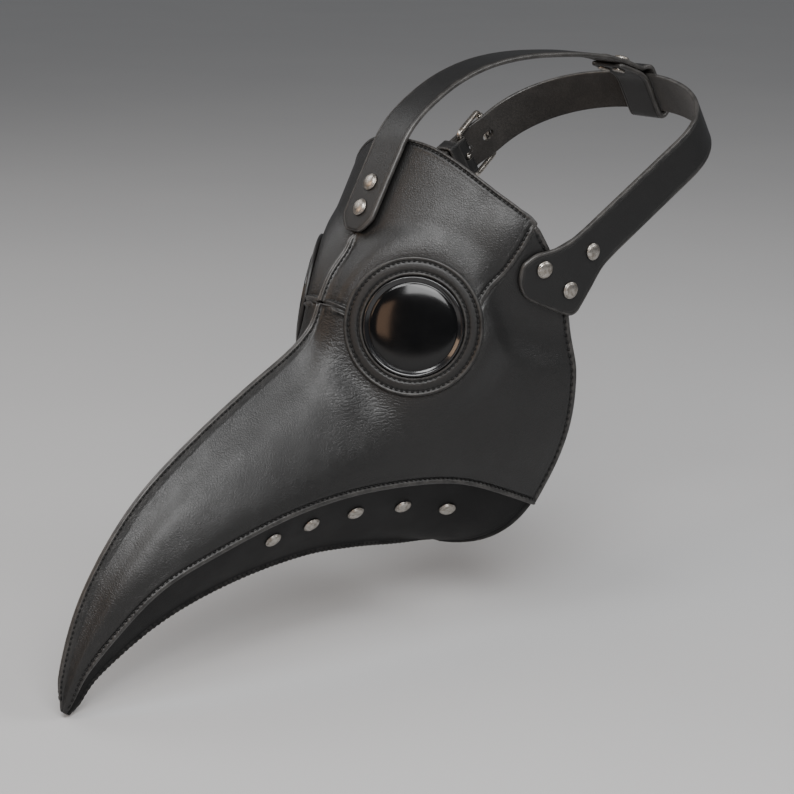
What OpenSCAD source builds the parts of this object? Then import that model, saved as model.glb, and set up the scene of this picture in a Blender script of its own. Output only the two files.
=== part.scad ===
// Plague doctor mask: a beaked leather face mask sewn from shaped panels, with
// round glazed eyes, a crown strap and a buckled rear strap.
// Millimetres, +Z up, the beak points to -Y, the wearer's left is +X.
// Origin: the point midway between the wearer's pupils, where the head sits.

/* [Leather] */
// Thickness of the sewn body panels
leather_t = 2.6; // [2.0:0.1:3.0]
// Thickness of the straps
strap_t = 2.8; // [2.4:0.1:3.0]
// Width of the crown strap
crown_w = 25; // [20:1:30]
// Width of the rear strap
rear_w = 26; // [22:1:27]
// Height of the turned-out seam along the ridge and the keel
seam_h = 4; // [2.5:0.5:5]

/* [Eyes] */
// Outer radius of the sewn leather eye ring
ring_r = 37.5; // [34:0.5:38]
// Height of the leather eye ring above the panel
ring_h = 3; // [2:0.25:4]
// Rise of the domed lens above its rim
lens_rise = 3; // [1:0.5:4]

/* [Rivets] */
// Radius of the domed rivet caps
cap_r = 4.8; // [3.5:0.1:5.5]
// Height of the domed rivet caps
cap_h = 2.4; // [1.5:0.1:3]

/* [Straps] */
// Slope of the rear strap, from level
rear_slope = 30; // [28:1:32]

/* [Hidden] */
$fn = 48;

// Guide points of the left skin. One row per station, from the beak tip to the
// rear edge; each row runs from the centre ridge round the side to the jaw seam.
net = [
  [[0, -224.2, -178.2], [1.5, -224, -178.7], [2.6, -224, -179.2], [3.3, -223.4, -179.8],
   [3.7, -222.8, -180.3], [3.9, -222.2, -180.8], [3.8, -221.6, -181.3]],
  [[0, -219.6, -158.6], [3, -218.4, -159.6], [5, -218, -160], [6, -217, -161],
   [7, -216, -162], [7, -215, -163], [6.5, -214, -163.5]],
  [[0, -210.4, -132.2], [5, -207.6, -135], [8.5, -206, -136], [11, -203, -138],
   [12.5, -200, -140], [13, -198, -141], [13, -196, -142]],
  [[0, -194.6, -105.8], [7, -191.5, -109], [12.5, -189, -111], [16.5, -185, -114],
   [19, -181, -117], [20.5, -178, -119], [20.5, -174, -121]],
  [[0, -170, -78.2], [8, -166.5, -83], [15, -164, -87], [20.5, -159, -93],
   [24.5, -154, -98], [27, -149, -103], [27.5, -144, -107]],
  [[0, -134.4, -52.5], [9, -132, -59.5], [17, -129, -66], [24, -124, -74],
   [29.5, -119, -82], [33, -113, -89], [34, -107, -95]],
  [[0, -95.5, -29.5], [10, -93, -37.5], [19, -90, -45], [27, -86, -56],
   [33.5, -81, -68], [37.5, -76, -79], [38.5, -70, -89]],
  [[0, -65, -11.3], [11, -63.5, -19.5], [21, -60, -27], [31, -53, -41],
   [39, -48, -57], [43.5, -43, -73], [44, -38, -88]],
  [[0, -44.5, 14.5], [14, -44.5, 12], [29, -38, 2], [44, -26, -16],
   [54, -17, -42], [56, -9, -68], [50, -3, -91]],
  [[0, -27.5, 48.5], [21, -25.5, 44.5], [43, -15, 36], [62, 4, 14],
   [71, 22, -28], [70, 30, -68], [56, 24, -100]],
  [[0, -1, 95], [27, 5, 91], [53, 15, 76], [70, 33, 53],
   [78, 58, 4], [78, 62, -60], [60, 52, -113]]
];

// Guide points of the keel seam, one per station.
keel = [
  [0, -219, -183], [0, -206, -167], [0, -188, -155.5], [0, -164, -144.5],
  [0, -136, -136.5], [0, -102, -131], [0, -66, -129], [0, -36, -131.5],
  [0, -10, -135.5], [0, 10, -139.5], [0, 26, -143]
];

// How far the chin panel bellies out at each station.
belly = [0, 0.3, 0.6, 1, 1.5, 2, 2, 2.5, 4, 8, 11];

// Eye ring placement.
eye_c = [44, -25, 0];
eye_turn = 45;
eye_tilt = 10;
eye_n = [cos(eye_tilt) * sin(eye_turn), -cos(eye_tilt) * cos(eye_turn), sin(eye_tilt)];
eye_x = [cos(eye_turn), sin(eye_turn), 0];
eye_y = cross(eye_n, eye_x);
hole_r = 25.5;

// Rear strap placement: the swing axis runs along X through the two temple tabs.
tab_y = 54;
tab_z = 25;
side_x = 78.5;
split_r = 31;
loop_s = 105;
loop_b = 58;

// Buckle placement, in rear strap coordinates (outward, along).
bar_s = 80;
front_o = 5.75;
front_s = 104;
bar_r = 1.5;

seam_t = 1.6;
mid_gap = 0.12;
bridge_u = 7.78;

function mixed(a, b, t) = a + (b - a) * t;
function unit(v) = v / norm(v);
function ease(a, b, x) = let (t = min(max((x - a) / (b - a), 0), 1)) t * t * (3 - 2 * t);

// Smooth curve through a list of values, at parameter t counted in entries.
function cubic(a, b, c, d, t) =
  0.5 * (2 * b + (c - a) * t + (2 * a - 5 * b + 4 * c - d) * t * t
  + (3 * b - a - 3 * c + d) * t * t * t);
function along(p, t) =
  let (
    n = len(p) - 1,
    i = max(0, min(n - 1, floor(t))),
    a = i > 0 ? p[i - 1] : 2 * p[0] - p[1],
    d = i + 2 <= n ? p[i + 2] : 2 * p[n] - p[n - 1]
  )
  cubic(a, p[i], p[i + 1], d, t - i);

function raw_skin(u, v) = along([for (row = net) along(row, v)], u);

// The skin is drawn flat under the eye ring.
function flat_eye(p) =
  let (
    h = (p - eye_c) * eye_n,
    r = norm(p - eye_c - h * eye_n)
  )
  p - eye_n * h * (1 - ease(38, 56, r));

// Inner face of the side strap, against the distance along the strap.
function strap_x(s) = side_x - 0.005 * pow(max(0, 10 - s), 2);
function strap_s(p) = (p[1] - tab_y) * cos(rear_slope) + (p[2] - tab_z) * sin(rear_slope);
function strap_m(p) = (p[2] - tab_z) * cos(rear_slope) - (p[1] - tab_y) * sin(rear_slope);

// The skin lies against the inside of the temple tab.
function flat_tab(p) =
  let (
    s = strap_s(p),
    m = strap_m(p),
    w = 1 - ease(30, 58, norm([s, m]))
  )
  [mixed(p[0], strap_x(s) - 0.2, w), p[1], p[2]];

function skin(u, v) = flat_tab(flat_eye(raw_skin(u, v)));
function skin_n(u, v) =
  let (
    e = 0.02,
    du = skin(u + e, v) - skin(u - e, v),
    dv = skin(u, v + e) - skin(u, v - e)
  )
  unit(cross(dv, du));

function thin(u) = min(1, 0.4 + 0.4 * u);
function keep_side(p) = [max(p[0], 0.3), p[1], p[2]];
function skin_in(u, v, t) = keep_side(skin(u, v) - skin_n(u, v) * t);

// Ridge line and the direction the turned-out seam stands in.
function ridge(u) = let (p = skin(u, 0)) [0, p[1], p[2]];
function ridge_up(u) =
  let (t = unit(ridge(u + 0.02) - ridge(u - 0.02)))
  [0, -t[2], t[1]];
function ridge_h(u) = seam_h * (1 - 0.94 * ease(8.8, 8.89, u)) * (0.6 + 0.4 * ease(0, 0.6, u));

// Net parameters of a point on a circle round the eye.
function eye_xy(u, v) = let (p = raw_skin(u, v) - eye_c) [p * eye_x, p * eye_y];
function find_uv(goal, uv, n) =
  n == 0 ? uv :
  let (
    e = 0.01,
    p = eye_xy(uv[0], uv[1]),
    a = (eye_xy(uv[0] + e, uv[1]) - p) / e,
    b = (eye_xy(uv[0], uv[1] + e) - p) / e,
    g = goal - p,
    k = a[0] * b[1] - a[1] * b[0],
    du = (g[0] * b[1] - g[1] * b[0]) / k,
    dv = (a[0] * g[1] - a[1] * g[0]) / k
  )
  find_uv(goal, [uv[0] + du, uv[1] + dv], n - 1);
function hole_uv(angle) =
  find_uv([hole_r * cos(angle), hole_r * sin(angle)], [8.25, 2.75], 8);

// Closed shell between an outer and an inner grid of points.
module shell(outer, inner) {
  nu = len(outer);
  nv = len(outer[0]);
  k = nu * nv;
  points = concat([for (c = outer) for (p = c) p], [for (c = inner) for (p = c) p]);
  skin_faces = [
    for (i = [0 : nu - 2]) for (j = [0 : nv - 2])
      let (a = i * nv + j, b = a + nv, c = b + 1, d = a + 1)
        each [[a, b, c], [a, c, d], [k + a, k + c, k + b], [k + a, k + d, k + c]]
  ];
  end_faces = [
    for (j = [0 : nv - 2])
      let (a = j, b = (nu - 1) * nv + j)
        each [
          [a, a + 1, k + a + 1], [a, k + a + 1, k + a],
          [b, k + b + 1, b + 1], [b, k + b, k + b + 1]
        ]
  ];
  edge_faces = [
    for (i = [0 : nu - 2])
      let (a = i * nv, b = a + nv, c = a + nv - 1, d = b + nv - 1)
        each [
          [a, k + a, k + b], [a, k + b, b],
          [c, k + d, k + c], [c, d, k + d]
        ]
  ];
  polyhedron(points = points, faces = concat(skin_faces, end_faces, edge_faces), convexity = 8);
}

// Beak and cheek panel: upper and lower ends of each column of its grid.
beak_top = concat(
  [for (k = [0 : 24]) [bridge_u * k / 24, 0]],
  [for (k = [1 : 3]) mixed([bridge_u, 0], hole_uv(180), k / 4)],
  [for (k = [0 : 14]) hole_uv(180 + 180 * k / 14)],
  [for (k = [1 : 5]) mixed(hole_uv(0), [10, 3], k / 5)]
);
beak_low = concat(
  [for (k = [0 : 24]) [7 * k / 24, 6]],
  [for (k = [1 : 3]) [7 + 0.25 * k / 4, 6]],
  [for (k = [0 : 14]) [7.25 + 1.9 * k / 14, 6]],
  [for (k = [1 : 5]) [9.15 + 0.85 * k / 5, 6]]
);
beak_rows = 14;

function beak_uv(i, j) =
  let (b = j < 2 ? (i <= 24 ? 0 : 0.015 * j) : (j - 1) / (beak_rows - 1))
  mixed(beak_top[i], beak_low[i], b);
function beak_out(i, j) =
  let (q = beak_uv(i, j))
  i <= 24 && j == 0 ? ridge(q[0]) + ridge_up(q[0]) * ridge_h(q[0]) + [seam_t, 0, 0] :
  i <= 24 && j == 1 ? ridge(q[0]) + [seam_t, 0, 0] :
  skin(q[0], q[1]);
function beak_in(i, j) =
  let (q = beak_uv(i, j))
  i <= 24 && j == 0 ? ridge(q[0]) + ridge_up(q[0]) * ridge_h(q[0]) + [mid_gap, 0, 0] :
  i <= 24 && j == 1 ? ridge(q[0]) - ridge_up(q[0]) * 3.2 * thin(q[0]) * thin(q[0]) + [mid_gap, 0, 0] :
  skin_in(q[0], q[1], leather_t * thin(q[0]));

module beak_panel() {
  outer = [for (i = [0 : len(beak_top) - 1]) [for (j = [0 : beak_rows]) beak_out(i, j)]];
  inner = [for (i = [0 : len(beak_top) - 1]) [for (j = [0 : beak_rows]) beak_in(i, j)]];
  shell(outer, inner);
}

// Brow panel: columns run from the seam and the eye hole up to the top edge.
brow_low = concat(
  [[bridge_u, 0], [bridge_u, 0]],
  [for (k = [1 : 3]) mixed([bridge_u, 0], hole_uv(180), k / 4)],
  [for (k = [0 : 14]) hole_uv(180 - 180 * k / 14)],
  [for (k = [1 : 5]) mixed(hole_uv(0), [10, 3], k / 5)]
);
brow_top = concat(
  [[10, 0], [10, 0]],
  [for (k = [1 : 3]) [10, 0.55 * k / 4]],
  [for (k = [0 : 14]) [10, 0.55 + 1.7 * k / 14]],
  [for (k = [1 : 5]) [10, 2.25 + 0.6 * k / 5]]
);
brow_rows = 12;

function brow_uv(i, j) = mixed(brow_low[i], brow_top[i], 0.008 + 0.992 * j / brow_rows);
function brow_out(i, j) =
  let (q = brow_uv(i, j))
  i == 0 ? ridge(q[0]) + ridge_up(q[0]) * ridge_h(q[0]) + [seam_t, 0, 0] :
  i == 1 ? ridge(q[0]) + [seam_t, 0, 0] :
  skin(q[0], q[1]);
function brow_in(i, j) =
  let (q = brow_uv(i, j))
  i == 0 ? ridge(q[0]) + ridge_up(q[0]) * ridge_h(q[0]) + [mid_gap, 0, 0] :
  i == 1 ? ridge(q[0]) - ridge_up(q[0]) * (leather_t + 0.2) + [mid_gap, 0, 0] :
  skin_in(q[0], q[1], leather_t);

module brow_panel() {
  outer = [for (j = [0 : brow_rows]) [for (i = [0 : len(brow_low) - 1]) brow_out(i, j)]];
  inner = [for (j = [0 : brow_rows]) [for (i = [0 : len(brow_low) - 1]) brow_in(i, j)]];
  shell(outer, inner);
}

// Chin panel: tucked under the beak panel at the jaw seam, sewn at the keel.
chin_rows = 9;
function jaw(u) = skin(u, 6) - skin_n(u, 6) * (leather_t * thin(u) + 0.25);
function keel_at(u) = along(keel, u);
function chin(u, w) =
  let (p = mixed(jaw(u), keel_at(u) + [seam_t, 0, 0], w))
  p + along(belly, u) * 4 * w * (1 - w) * [0.25, 0.35, -0.9];
function chin_n(u, w) =
  let (
    e = 0.02,
    du = chin(u + e, w) - chin(u - e, w),
    dw = chin(u, w + e) - chin(u, w - e)
  )
  unit(cross(dw, du));
function tuck_v(u) = 6 - min(0.8, 7 / norm(skin(u, 6) - skin(u, 5)));
function keel_down(u) =
  let (t = unit(keel_at(u + 0.02) - keel_at(u - 0.02)))
  [0, t[2], -t[1]];

function chin_out(u, j) =
  j == 0 ? keep_side(skin(u, tuck_v(u)) - skin_n(u, tuck_v(u)) * (leather_t * thin(u) + 0.25)) :
  j <= chin_rows - 1 ? chin(u, (j - 1) / (chin_rows - 2)) :
  keel_at(u) + keel_down(u) * seam_h * 0.7 * thin(u) + [seam_t, 0, 0];
function chin_in(u, j) =
  let (t = leather_t * thin(u))
  j == 0 ? keep_side(skin(u, tuck_v(u)) - skin_n(u, tuck_v(u)) * (2 * t + 0.25)) :
  j == 1 ? keep_side(jaw(u) - unit(skin_n(u, 6) + chin_n(u, 0)) * 1.15 * t) :
  j < chin_rows - 1 ? keep_side(chin(u, (j - 1) / (chin_rows - 2)) - chin_n(u, (j - 1) / (chin_rows - 2)) * t) :
  j == chin_rows - 1 ? keel_at(u) - keel_down(u) * 1.15 * t + [mid_gap, 0, 0] :
  keel_at(u) + keel_down(u) * seam_h * 0.7 * thin(u) + [mid_gap, 0, 0];

module chin_panel() {
  outer = [for (i = [0 : 40]) [for (j = [0 : chin_rows]) chin_out(i / 4, j)]];
  inner = [for (i = [0 : 40]) [for (j = [0 : chin_rows]) chin_in(i / 4, j)]];
  shell(outer, inner);
}

// Puts a child's +Z along n at p.
module stand_on(p, n) {
  translate(p)
    rotate([0, acos(n[2]), atan2(n[1], n[0])])
      children();
}

module at_eye() {
  translate(eye_c)
    rotate([90 - eye_tilt, 0, eye_turn])
      children();
}

// Padded leather ring with a rolled rim, two stitch channels and an inner lip.
module eye_ring() {
  at_eye()
    rotate_extrude($fn = 72)
      polygon([
        [27.3, 0.15], [ring_r, 0.15], [ring_r + 0.2, 1.4], [ring_r - 0.3, ring_h - 0.5],
        [ring_r - 1.2, ring_h], [ring_r - 2.1, ring_h - 0.5], [ring_r - 2.6, ring_h - 0.9],
        [ring_r - 3.2, ring_h - 0.5], [30.4, ring_h - 0.3], [29.8, ring_h - 0.8],
        [29.2, ring_h - 0.2], [28.4, ring_h + 0.2], [27.6, ring_h - 0.1], [27.3, ring_h - 0.8]
      ]);
}

// Turned bezel: its barrel goes through the panel, its lip holds the lens.
module lens_bezel() {
  at_eye()
    rotate_extrude($fn = 72)
      polygon([
        [24.6, -5.4], [25.2, -5.4], [25.2, 0.15], [27, 0.15], [27, 3.4], [26.5, 4.3],
        [25.6, 4.7], [24.5, 4.4], [23.8, 3.7], [23.8, 3.1], [24.6, 3]
      ]);
}

// Domed lens, held under the lip of the bezel.
module lens() {
  at_eye()
    rotate_extrude($fn = 72)
      polygon(concat(
        [[0, 0.6 + lens_rise], [0, 2.6 + lens_rise]],
        [for (a = [15 : 15 : 75]) [23.6 * sin(a), 2.6 + lens_rise * cos(a)]],
        [[23.6, 2.9], [24.5, 2.8], [24.5, 0.9]],
        [for (a = [75 : -15 : 15]) [23 * sin(a), 0.6 + lens_rise * cos(a)]]
      ));
}

// Threaded ring that clamps the panel from inside.
module lens_retainer() {
  at_eye()
    difference() {
      translate([0, 0, -leather_t - 2.6])
        cylinder(r = 32, h = 2.3, $fn = 72);
      translate([0, 0, -leather_t - 3])
        cylinder(r = 25.3, h = 4, $fn = 72);
    }
}

// Domed cap, shank through a stack of leather, and a flat cap behind.
module rivet(grip) {
  rotate_extrude($fn = 32)
    polygon([
      [0, -grip - 1.2], [3.4, -grip - 1.2], [4, -grip - 0.8], [4, -grip - 0.05],
      [1.8, -grip - 0.05], [1.8, 0.1], [cap_r - 0.3, 0.1], [cap_r, 0.4], [cap_r, 0.8],
      [cap_r * 0.93, cap_h * 0.58], [cap_r * 0.75, cap_h * 0.82], [cap_r * 0.45, cap_h * 0.96],
      [0, cap_h]
    ]);
}

module chin_rivets() {
  for (u = [5, 5.65, 6.5, 7.45, 8.4])
    stand_on(chin(u, 0.33), chin_n(u, 0.33))
      rivet(leather_t);
}

// Rear strap coordinates: x across the head, y along the strap, z across its width.
module in_strap() {
  translate([0, tab_y, tab_z])
    rotate([rear_slope, 0, 0])
      children();
}

module swing_cylinder(r) {
  rotate([0, 90, 0])
    cylinder(r = r, h = 220, center = true, $fn = 96);
}

// Outline of the flared temple tab, along and across the strap.
tab_outline = [
  [-22, 19.5], [-17, 20.8], [-12, 20.6], [-6, 18.2], [0, 16], [7, 14.3], [14, 13.3],
  [24, rear_w / 2], [36, rear_w / 2], [36, -rear_w / 2], [25, -rear_w / 2 - 0.6], [18, -15.2],
  [11, -18.2], [5, -20.6], [-1, -23.3], [-5, -24.8], [-9, -23.8], [-14, -17.5], [-20, -9],
  [-25, -1.5], [-27, 4], [-26.5, 12]
];
tab_rivets = [[-12.5, 10.8], [-3.5, -10], [20, -1]];

function strap_dx(s) = 0.01 * max(0, 10 - s);

module tab_band(inner_x, t) {
  linear_extrude(height = 64, center = true)
    polygon(concat(
      [for (s = [-32 : 6 : 34]) [strap_x(s) + inner_x, s]],
      [for (s = [34 : -6 : -32]) [strap_x(s) + inner_x + t, s]]
    ));
}

module tab_holes() {
  for (q = tab_rivets)
    translate([strap_x(q[0]) + strap_t - 22, q[0] + 22 * strap_dx(q[0]), q[1]])
      rotate([0, 90, -atan(strap_dx(q[0]))])
        cylinder(r = 1.9, h = 44, $fn = 32);
}

module strap_tab() {
  in_strap()
    difference() {
      intersection() {
        tab_band(0, strap_t);
        translate([50, 0, 0])
          rotate([90, 0, 90])
            linear_extrude(height = 40)
              polygon(tab_outline);
        swing_cylinder(split_r - 0.2);
      }
      tab_holes();
    }
}

// Leather patch behind the cheek that takes the rivets.
module tab_backing() {
  in_strap()
    difference() {
      intersection() {
        tab_band(-leather_t - 2.4, 1.8);
        translate([50, 0, 0])
          rotate([90, 0, 90])
            linear_extrude(height = 40)
              polygon([
                [-20, 14], [-14, 17], [20, 9], [26, 6], [26, -8], [20, -10],
                [-2, -18], [-8, -17], [-19, -4]
              ]);
      }
      tab_holes();
    }
}

module temple_rivets() {
  in_strap()
    for (q = tab_rivets)
      translate([strap_x(q[0]) + strap_t, q[0], q[1]])
        rotate([0, 90, -atan(strap_dx(q[0]))])
          rivet(strap_t + leather_t + 2.4);
}

// Centre line of the rear strap: left side, round the back, right side, billet.
function lift(s) = (strap_t + 0.4) * (1 - ease(84, 106, s));
function mid_x() = side_x + strap_t / 2;
loop_line = concat(
  [for (s = [22, 50, 80]) [mid_x(), s]],
  [for (a = [0 : 7.5 : 180])
    [mid_x() * sign(cos(a)) * pow(abs(cos(a)), 0.92), loop_s + loop_b * pow(sin(a), 0.92)]],
  [for (s = [103, 100, 97, 94, 91, 88, 85, 70, 40]) [-mid_x() - lift(s), s]]
);
function line_n(p, i) =
  let (
    a = p[max(i - 1, 0)],
    b = p[min(i + 1, len(p) - 1)],
    t = unit(b - a)
  )
  [t[1], -t[0]];
function band(p, t) = concat(
  [for (i = [0 : len(p) - 1]) p[i] + line_n(p, i) * t / 2],
  [for (i = [len(p) - 1 : -1 : 0]) p[i] - line_n(p, i) * t / 2]
);

module slot_x(s, length, r) {
  rotate([0, 90, 0])
    for (e = [-1, 1])
      translate([0, s + e * (length / 2 - r), 0])
        cylinder(r = r, h = 60, center = true, $fn = 32);
  translate([0, s, 0])
    cube([60, length - 2 * r, 2 * r], center = true);
}

module side_strap_left() {
  in_strap()
    difference() {
      linear_extrude(height = rear_w, center = true)
        polygon(band(loop_line, strap_t));
      swing_cylinder(split_r + 0.2);
      for (s = [83.8, 66.8, 49.8, 101])
        translate([-90, 0, 0])
          slot_x(s, 8.6, 2.6);
      // Clipped corners of the billet's end
      for (e = [-1, 1])
        translate([-90, 40, e * 15])
          rotate([40 * e, 0, 0])
            cube([30, 30, 8], center = true);
    }
}

// Right side: the strap folds round the heel bar of the buckle.
fold_outline = concat(
  [[0, 22], [strap_t, 22], [strap_t, 72], [2.85, bar_s]],
  [for (a = [75 : -15 : -75]) [2.85 * sin(a), bar_s + 2.85 * cos(a)]],
  [[-2.85, bar_s], [-2.8, 74], [-2.8, 57], [-0.15, 57], [-0.15, 73.5], [-1.65, bar_s]],
  [for (a = [-75 : 15 : 75]) [1.65 * sin(a), bar_s + 1.65 * cos(a)]],
  [[1.65, bar_s], [0, 73.8]]
);

module side_strap_right() {
  in_strap()
    difference() {
      linear_extrude(height = rear_w, center = true)
        polygon([for (q = fold_outline) [-side_x - q[0], q[1]]]);
      swing_cylinder(split_r + 0.2);
      // Slot for the prong
      translate([-side_x, bar_s + 0.5, 0])
        cube([12, 9, 5], center = true);
      for (m = [-7, 7])
        translate([-side_x, 60.6, m])
          rotate([0, 90, 0])
            cylinder(r = 1.6, h = 20, center = true, $fn = 32);
    }
}

// Flat rivets that close the fold, under the billet.
module fold_rivets() {
  in_strap()
    for (m = [-7, 7])
      translate([-side_x, 60.6, m])
        rotate([0, 90, 0])
          rotate_extrude($fn = 32)
            polygon([
              [0, -3], [1.6, -3], [1.6, 2.85], [2.9, 2.85], [3.1, 3.2], [2.6, 3.7], [0, 3.9]
            ]);
}

module keeper_loop(s, low_o, wide) {
  high_o = 2 * strap_t + 0.4;
  translate([-side_x - (low_o + high_o) / 2, s, 0])
    difference() {
      cube([high_o - low_o + 4.2, wide, rear_w + 4.4], center = true);
      cube([high_o - low_o + 0.6, wide + 2, rear_w + 0.8], center = true);
    }
}

module fixed_keeper() {
  in_strap()
    keeper_loop(69.5, -strap_t - 1.1, 8);
}

module sliding_keeper() {
  in_strap()
    keeper_loop(47.5, 0, 9);
}

module rod(a, b, r) {
  d = b - a;
  stand_on(a, unit(d))
    cylinder(r = r, h = norm(d), $fn = 24);
}

function buckle_pt(o, s, m) = [-side_x - o, s, m];

module buckle_frame() {
  run = [front_o, front_s - bar_s] / norm([front_o, front_s - bar_s]) * 2.6;
  in_strap()
    union() {
      rod(buckle_pt(0, bar_s, -15.5), buckle_pt(0, bar_s, 15.5), bar_r);
      rod(buckle_pt(front_o, front_s, -15.5), buckle_pt(front_o, front_s, 15.5), bar_r);
      for (m = [-15.5, 15.5])
        rod(
          buckle_pt(-run[0], bar_s - run[1], m),
          buckle_pt(front_o + run[0], front_s + run[1], m),
          1.75
        );
    }
}

module buckle_roller() {
  in_strap()
    translate(buckle_pt(front_o, front_s, 0))
      difference() {
        cylinder(r = 2.6, h = 26, center = true, $fn = 32);
        cylinder(r = bar_r + 0.1, h = 28, center = true, $fn = 32);
      }
}

// Side view of the prong, outward and along: up through the hole, then forward.
prong_outline = [
  [-2.2, 80.6], [-0.6, 82.2], [2, 83.6], [5.4, 86.2], [6.3, 87.6], [9.3, 107.4],
  [10, 108.4], [11, 108.2], [11.4, 107.2], [8.6, 86.2], [7.6, 84.3], [3, 80.8], [0, 80]
];

module buckle_prong() {
  in_strap()
    difference() {
      union() {
        translate(buckle_pt(0, bar_s, 0))
          cylinder(r = 2.7, h = 3.6, center = true, $fn = 32);
        linear_extrude(height = 2.6, center = true)
          polygon([for (q = prong_outline) [-side_x - q[0], q[1]]]);
      }
      translate(buckle_pt(0, bar_s, 0))
        cylinder(r = bar_r + 0.1, h = 6, center = true, $fn = 32);
    }
}

// Crown strap: side view of its centre line, with the loop round the rear strap.
function strap_yz(s, m) = [
  tab_y + s * cos(rear_slope) - m * sin(rear_slope),
  tab_z + s * sin(rear_slope) + m * cos(rear_slope)
];
back_s = loop_s + loop_b;
crown_line = concat(
  [[-31, 46.4], [-24.6, 58], [-19.3, 67.2], [-13.8, 76.8], [-8.2, 86.5], [-2.4, 96],
   [5.5, 104.6], [17, 113], [33, 121.8], [51, 128.2], [70, 132], [92, 133.6], [115, 133.2],
   [139, 131.4], [162, 127.6]],
  [strap_yz(back_s - 5, 20.2), strap_yz(back_s - 1.5, 18.4), strap_yz(back_s + 1.6, 16.8),
   strap_yz(back_s + 3.2, 13.5), strap_yz(back_s + 3.3, 0), strap_yz(back_s + 3.2, -13.5),
   strap_yz(back_s + 1.6, -16.4), strap_yz(back_s - 2, -16.4), strap_yz(back_s - 3.8, -13.5),
   strap_yz(back_s - 3.9, 0), strap_yz(back_s - 4.1, 10), strap_yz(back_s - 5.4, 14.6)],
  [[179.8, 118.4], [175, 120.1], [161.5, 124.5]]
);

module crown_strap() {
  difference() {
    rotate([90, 0, 90])
      linear_extrude(height = crown_w, center = true)
        polygon(band(crown_line, strap_t));
    // Pointed end on the forehead
    for (e = [-1, 1])
      translate([0, -31, 46.4])
        rotate([61, 0, 0])
          translate([0, 0, -6])
            linear_extrude(height = 12)
              polygon([
                [e * 3.2, -2], [e * 3.2, 0], [e * 6.5, 1.4], [e * (crown_w / 2 - 1.4), 6.6],
                [e * (crown_w / 2 + 0.1), 9.5], [e * (crown_w / 2 + 3), 9.5], [e * (crown_w / 2 + 3), -2]
              ]);
    for (q = crown_rivet_at)
      stand_on(q[0], q[1])
        cylinder(r = 1.9, h = 12, center = true, $fn = 32);
    for (q = loop_rivet_at)
      stand_on(q[0], q[1])
        cylinder(r = 2.1, h = 24, center = true, $fn = 32);
  }
}

crown_rivet_at = [
  [[0, -24.6, 58], [0, -0.867, 0.498]],
  [[0, -17.1, 71], [0, -0.867, 0.498]]
];
loop_rivet_at = [
  [[-6, 169, 125.3], [0, 0.31, 0.951]],
  [[6, 169, 125.3], [0, 0.31, 0.951]]
];

module crown_rivets() {
  for (q = crown_rivet_at)
    stand_on(q[0] + q[1] * (strap_t / 2), q[1])
      rivet(strap_t + leather_t + 0.6);
}

module crown_loop_rivets() {
  for (q = loop_rivet_at)
    stand_on(q[0] + q[1] * (strap_t / 2 + 0.1), q[1])
      rivet(2 * strap_t + 0.5);
}

color("#2b2a29") beak_panel();  // beak_panel_left
color("#2b2a29") mirror([1, 0, 0]) beak_panel();  // beak_panel_right
color("#2d2c2b") brow_panel();  // brow_panel_left
color("#2d2c2b") mirror([1, 0, 0]) brow_panel();  // brow_panel_right
color("#1b1b1c") chin_panel();  // chin_panel_left
color("#1b1b1c") mirror([1, 0, 0]) chin_panel();  // chin_panel_right
color("#343332") eye_ring();  // eye_ring_left
color("#343332") mirror([1, 0, 0]) eye_ring();  // eye_ring_right
color("#0c0c0d") lens_bezel();  // lens_bezel_left
color("#0c0c0d") mirror([1, 0, 0]) lens_bezel();  // lens_bezel_right
color("#101214") lens();  // lens_left
color("#101214") mirror([1, 0, 0]) lens();  // lens_right
color("#1a1a1a") lens_retainer();  // lens_retainer_left
color("#1a1a1a") mirror([1, 0, 0]) lens_retainer();  // lens_retainer_right
color("#302f2e") crown_strap();
color("#8d8578") crown_rivets();
color("#302f2e") strap_tab();  // strap_tab_left
color("#302f2e") mirror([1, 0, 0]) strap_tab();  // strap_tab_right
color("#262524") tab_backing();  // tab_backing_left
color("#262524") mirror([1, 0, 0]) tab_backing();  // tab_backing_right
color("#8d8578") temple_rivets();  // temple_rivets_left
color("#8d8578") mirror([1, 0, 0]) temple_rivets();  // temple_rivets_right
color("#8d8578") chin_rivets();  // chin_rivets_left
color("#8d8578") mirror([1, 0, 0]) chin_rivets();  // chin_rivets_right
color("#302f2e") side_strap_left();
color("#302f2e") side_strap_right();
color("#8d8578") fold_rivets();
color("#8d8578") crown_loop_rivets();
color("#302f2e") fixed_keeper();
color("#8d8578") buckle_frame();
color("#8d8578") buckle_roller();
color("#8d8578") buckle_prong();
color("#302f2e") sliding_keeper();
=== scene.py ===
import math

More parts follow.
